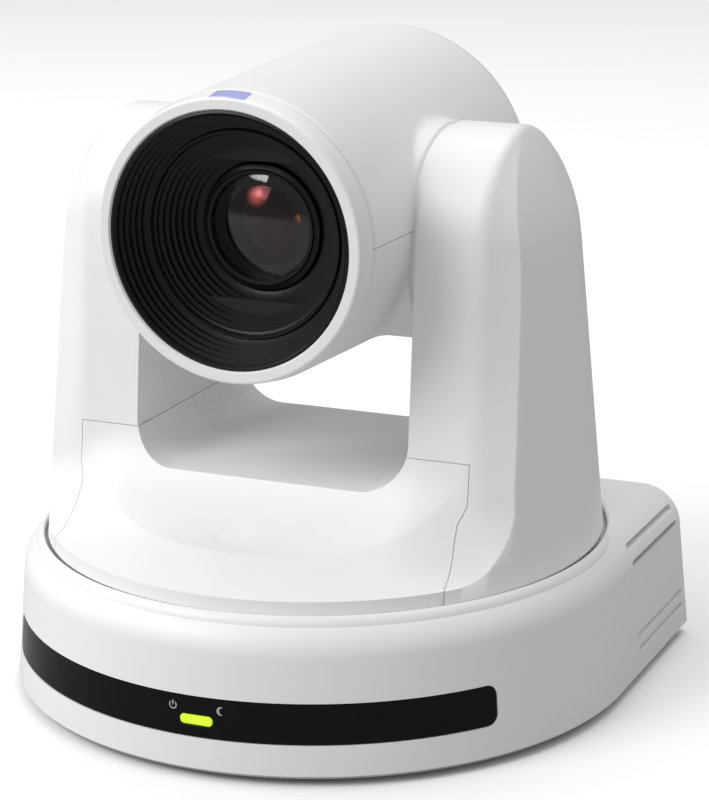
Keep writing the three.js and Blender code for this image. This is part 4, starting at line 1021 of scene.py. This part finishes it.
# ------------------------------------------------------------------ stage
class PTZ_OT_stage(bpy.types.Operator):
    """Pale floor, soft lights and the camera"""
    bl_idname = "ptz.stage"
    bl_label = "Stage"

    def execute(self, context):
        scene = context.scene
        looks = light_looks()
        bm = bmesh.new()
        bmesh.ops.create_grid(bm, x_segments=1, y_segments=1, size=6)
        floor_mesh = as_mesh(bm)
        floor_mesh.transform(Matrix.Translation((0, 0, node_box("foot_1")[0].z * MM)))
        floor_mesh.materials.append(self.floor_material())
        floor = bpy.data.objects.new("floor", floor_mesh)
        scene.collection.objects.link(floor)
        world = bpy.data.worlds.new("studio")
        world.use_nodes = True
        sky = world.node_tree.nodes["Background"]
        sky.inputs["Color"].default_value = (1, 1, 1, 1)
        nodes, links = world.node_tree.nodes, world.node_tree.links
        path = nodes.new("ShaderNodeLightPath")
        strength = None
        for ray, level in (("Is Camera Ray", 1.0), ("Is Glossy Ray", looks.gloss)):
            step = nodes.new("ShaderNodeMath")
            step.operation = "MULTIPLY_ADD"
            step.inputs[1].default_value = level - looks.room
            step.inputs[2].default_value = looks.room
            links.new(path.outputs[ray], step.inputs[0])
            if strength:
                links.new(strength, step.inputs[2])
            strength = step.outputs[0]
        links.new(strength, sky.inputs["Strength"])
        scene.world = world
        target = Vector((0, 0, 0.08))
        for name, place, power, size in (
                ("key_light", (-0.85, -1.15, 1.1), looks.key, 0.9),
                ("side_light", (-1.3, -0.2, 0.6), looks.key * 0.35, 0.8),
                ("top_light", (0.1, 0.5, 1.5), looks.key * 0.4, 1.0)):
            lamp = bpy.data.lights.new(name, "AREA")
            lamp.energy, lamp.size, lamp.shape = power, size, "SQUARE"
            light = bpy.data.objects.new(name, lamp)
            light.location = place
            light.rotation_euler = (target - light.location).to_track_quat("-Z", "Y").to_euler()
            scene.collection.objects.link(light)
        self.camera(scene)
        scene.view_settings.view_transform = "Standard"
        return {"FINISHED"}

    def floor_material(self):
        """White to the camera, and greyer to the light that it throws back on the shells."""
        material = bpy.data.materials.new("floor_white")
        material.use_nodes = True
        nodes, links = material.node_tree.nodes, material.node_tree.links
        shader = next(n for n in nodes if n.type == "BSDF_PRINCIPLED")
        shader.inputs["Roughness"].default_value = 0.9
        shader.inputs["Specular IOR Level"].default_value = 0.0
        path = nodes.new("ShaderNodeLightPath")
        shade = nodes.new("ShaderNodeMapRange")
        shade.inputs["To Min"].default_value = light_looks().bounce
        shade.inputs["To Max"].default_value = 0.97
        links.new(path.outputs["Is Camera Ray"], shade.inputs["Value"])
        links.new(shade.outputs["Result"], shader.inputs["Base Color"])
        return material

    def camera(self, scene):
        azimuth, elevation, roll = (math.radians(a) for a in (24.44, 16.03, -0.88))
        away = Vector((math.sin(azimuth) * math.cos(elevation),
                       -math.cos(azimuth) * math.cos(elevation), math.sin(elevation)))
        right = Vector((math.cos(azimuth), math.sin(azimuth), 0))
        up = away.cross(right)
        turned_right = right * math.cos(roll) + up * math.sin(roll)
        turned_up = up * math.cos(roll) - right * math.sin(roll)
        data = bpy.data.cameras.new("view")
        data.sensor_fit, data.sensor_width, data.lens = "AUTO", 36, 117.38
        data.clip_start, data.clip_end = 0.01, 50
        eye = bpy.data.objects.new("view", data)
        place = Vector((0.00834, 0, 0.06785)) + away * 0.64196
        eye.matrix_world = Matrix.Translation(place) @ Matrix(
            (turned_right, turned_up, away)).transposed().to_4x4()
        scene.collection.objects.link(eye)
        scene.camera = eye


OPERATORS = (PTZ_OT_base_shell, PTZ_OT_front_window, PTZ_OT_yoke_shell, PTZ_OT_head_shell,
             PTZ_OT_lens, PTZ_OT_sockets, PTZ_OT_underside, PTZ_OT_inner_finishes, PTZ_OT_stage)


class PTZ_PT_sidebar(bpy.types.Panel):
    """Lists the steps that build the camera's looks"""
    bl_idname = "PTZ_PT_sidebar"
    bl_label = "PTZ camera"
    bl_space_type = "VIEW_3D"
    bl_region_type = "UI"
    bl_category = "PTZ camera"

    def draw(self, context):
        for looks in (context.scene.ptz_shell, context.scene.ptz_light):
            for name in looks.__annotations__:
                self.layout.prop(looks, name)
        for operator in OPERATORS:
            self.layout.operator(operator.bl_idname)


CLASSES = (ShellLooks, LightLooks, *OPERATORS, PTZ_PT_sidebar)


def register():
    for item in CLASSES:
        bpy.utils.register_class(item)
    bpy.types.Scene.ptz_shell = PointerProperty(type=ShellLooks)
    bpy.types.Scene.ptz_light = PointerProperty(type=LightLooks)


def unregister():
    del bpy.types.Scene.ptz_shell
    del bpy.types.Scene.ptz_light
    for item in reversed(CLASSES):
        bpy.utils.unregister_class(item)


def main():
    register()
    for operator in OPERATORS:
        group, name = operator.bl_idname.split(".")
        getattr(getattr(bpy.ops, group), name)()


if __name__ == "__main__":
    main()
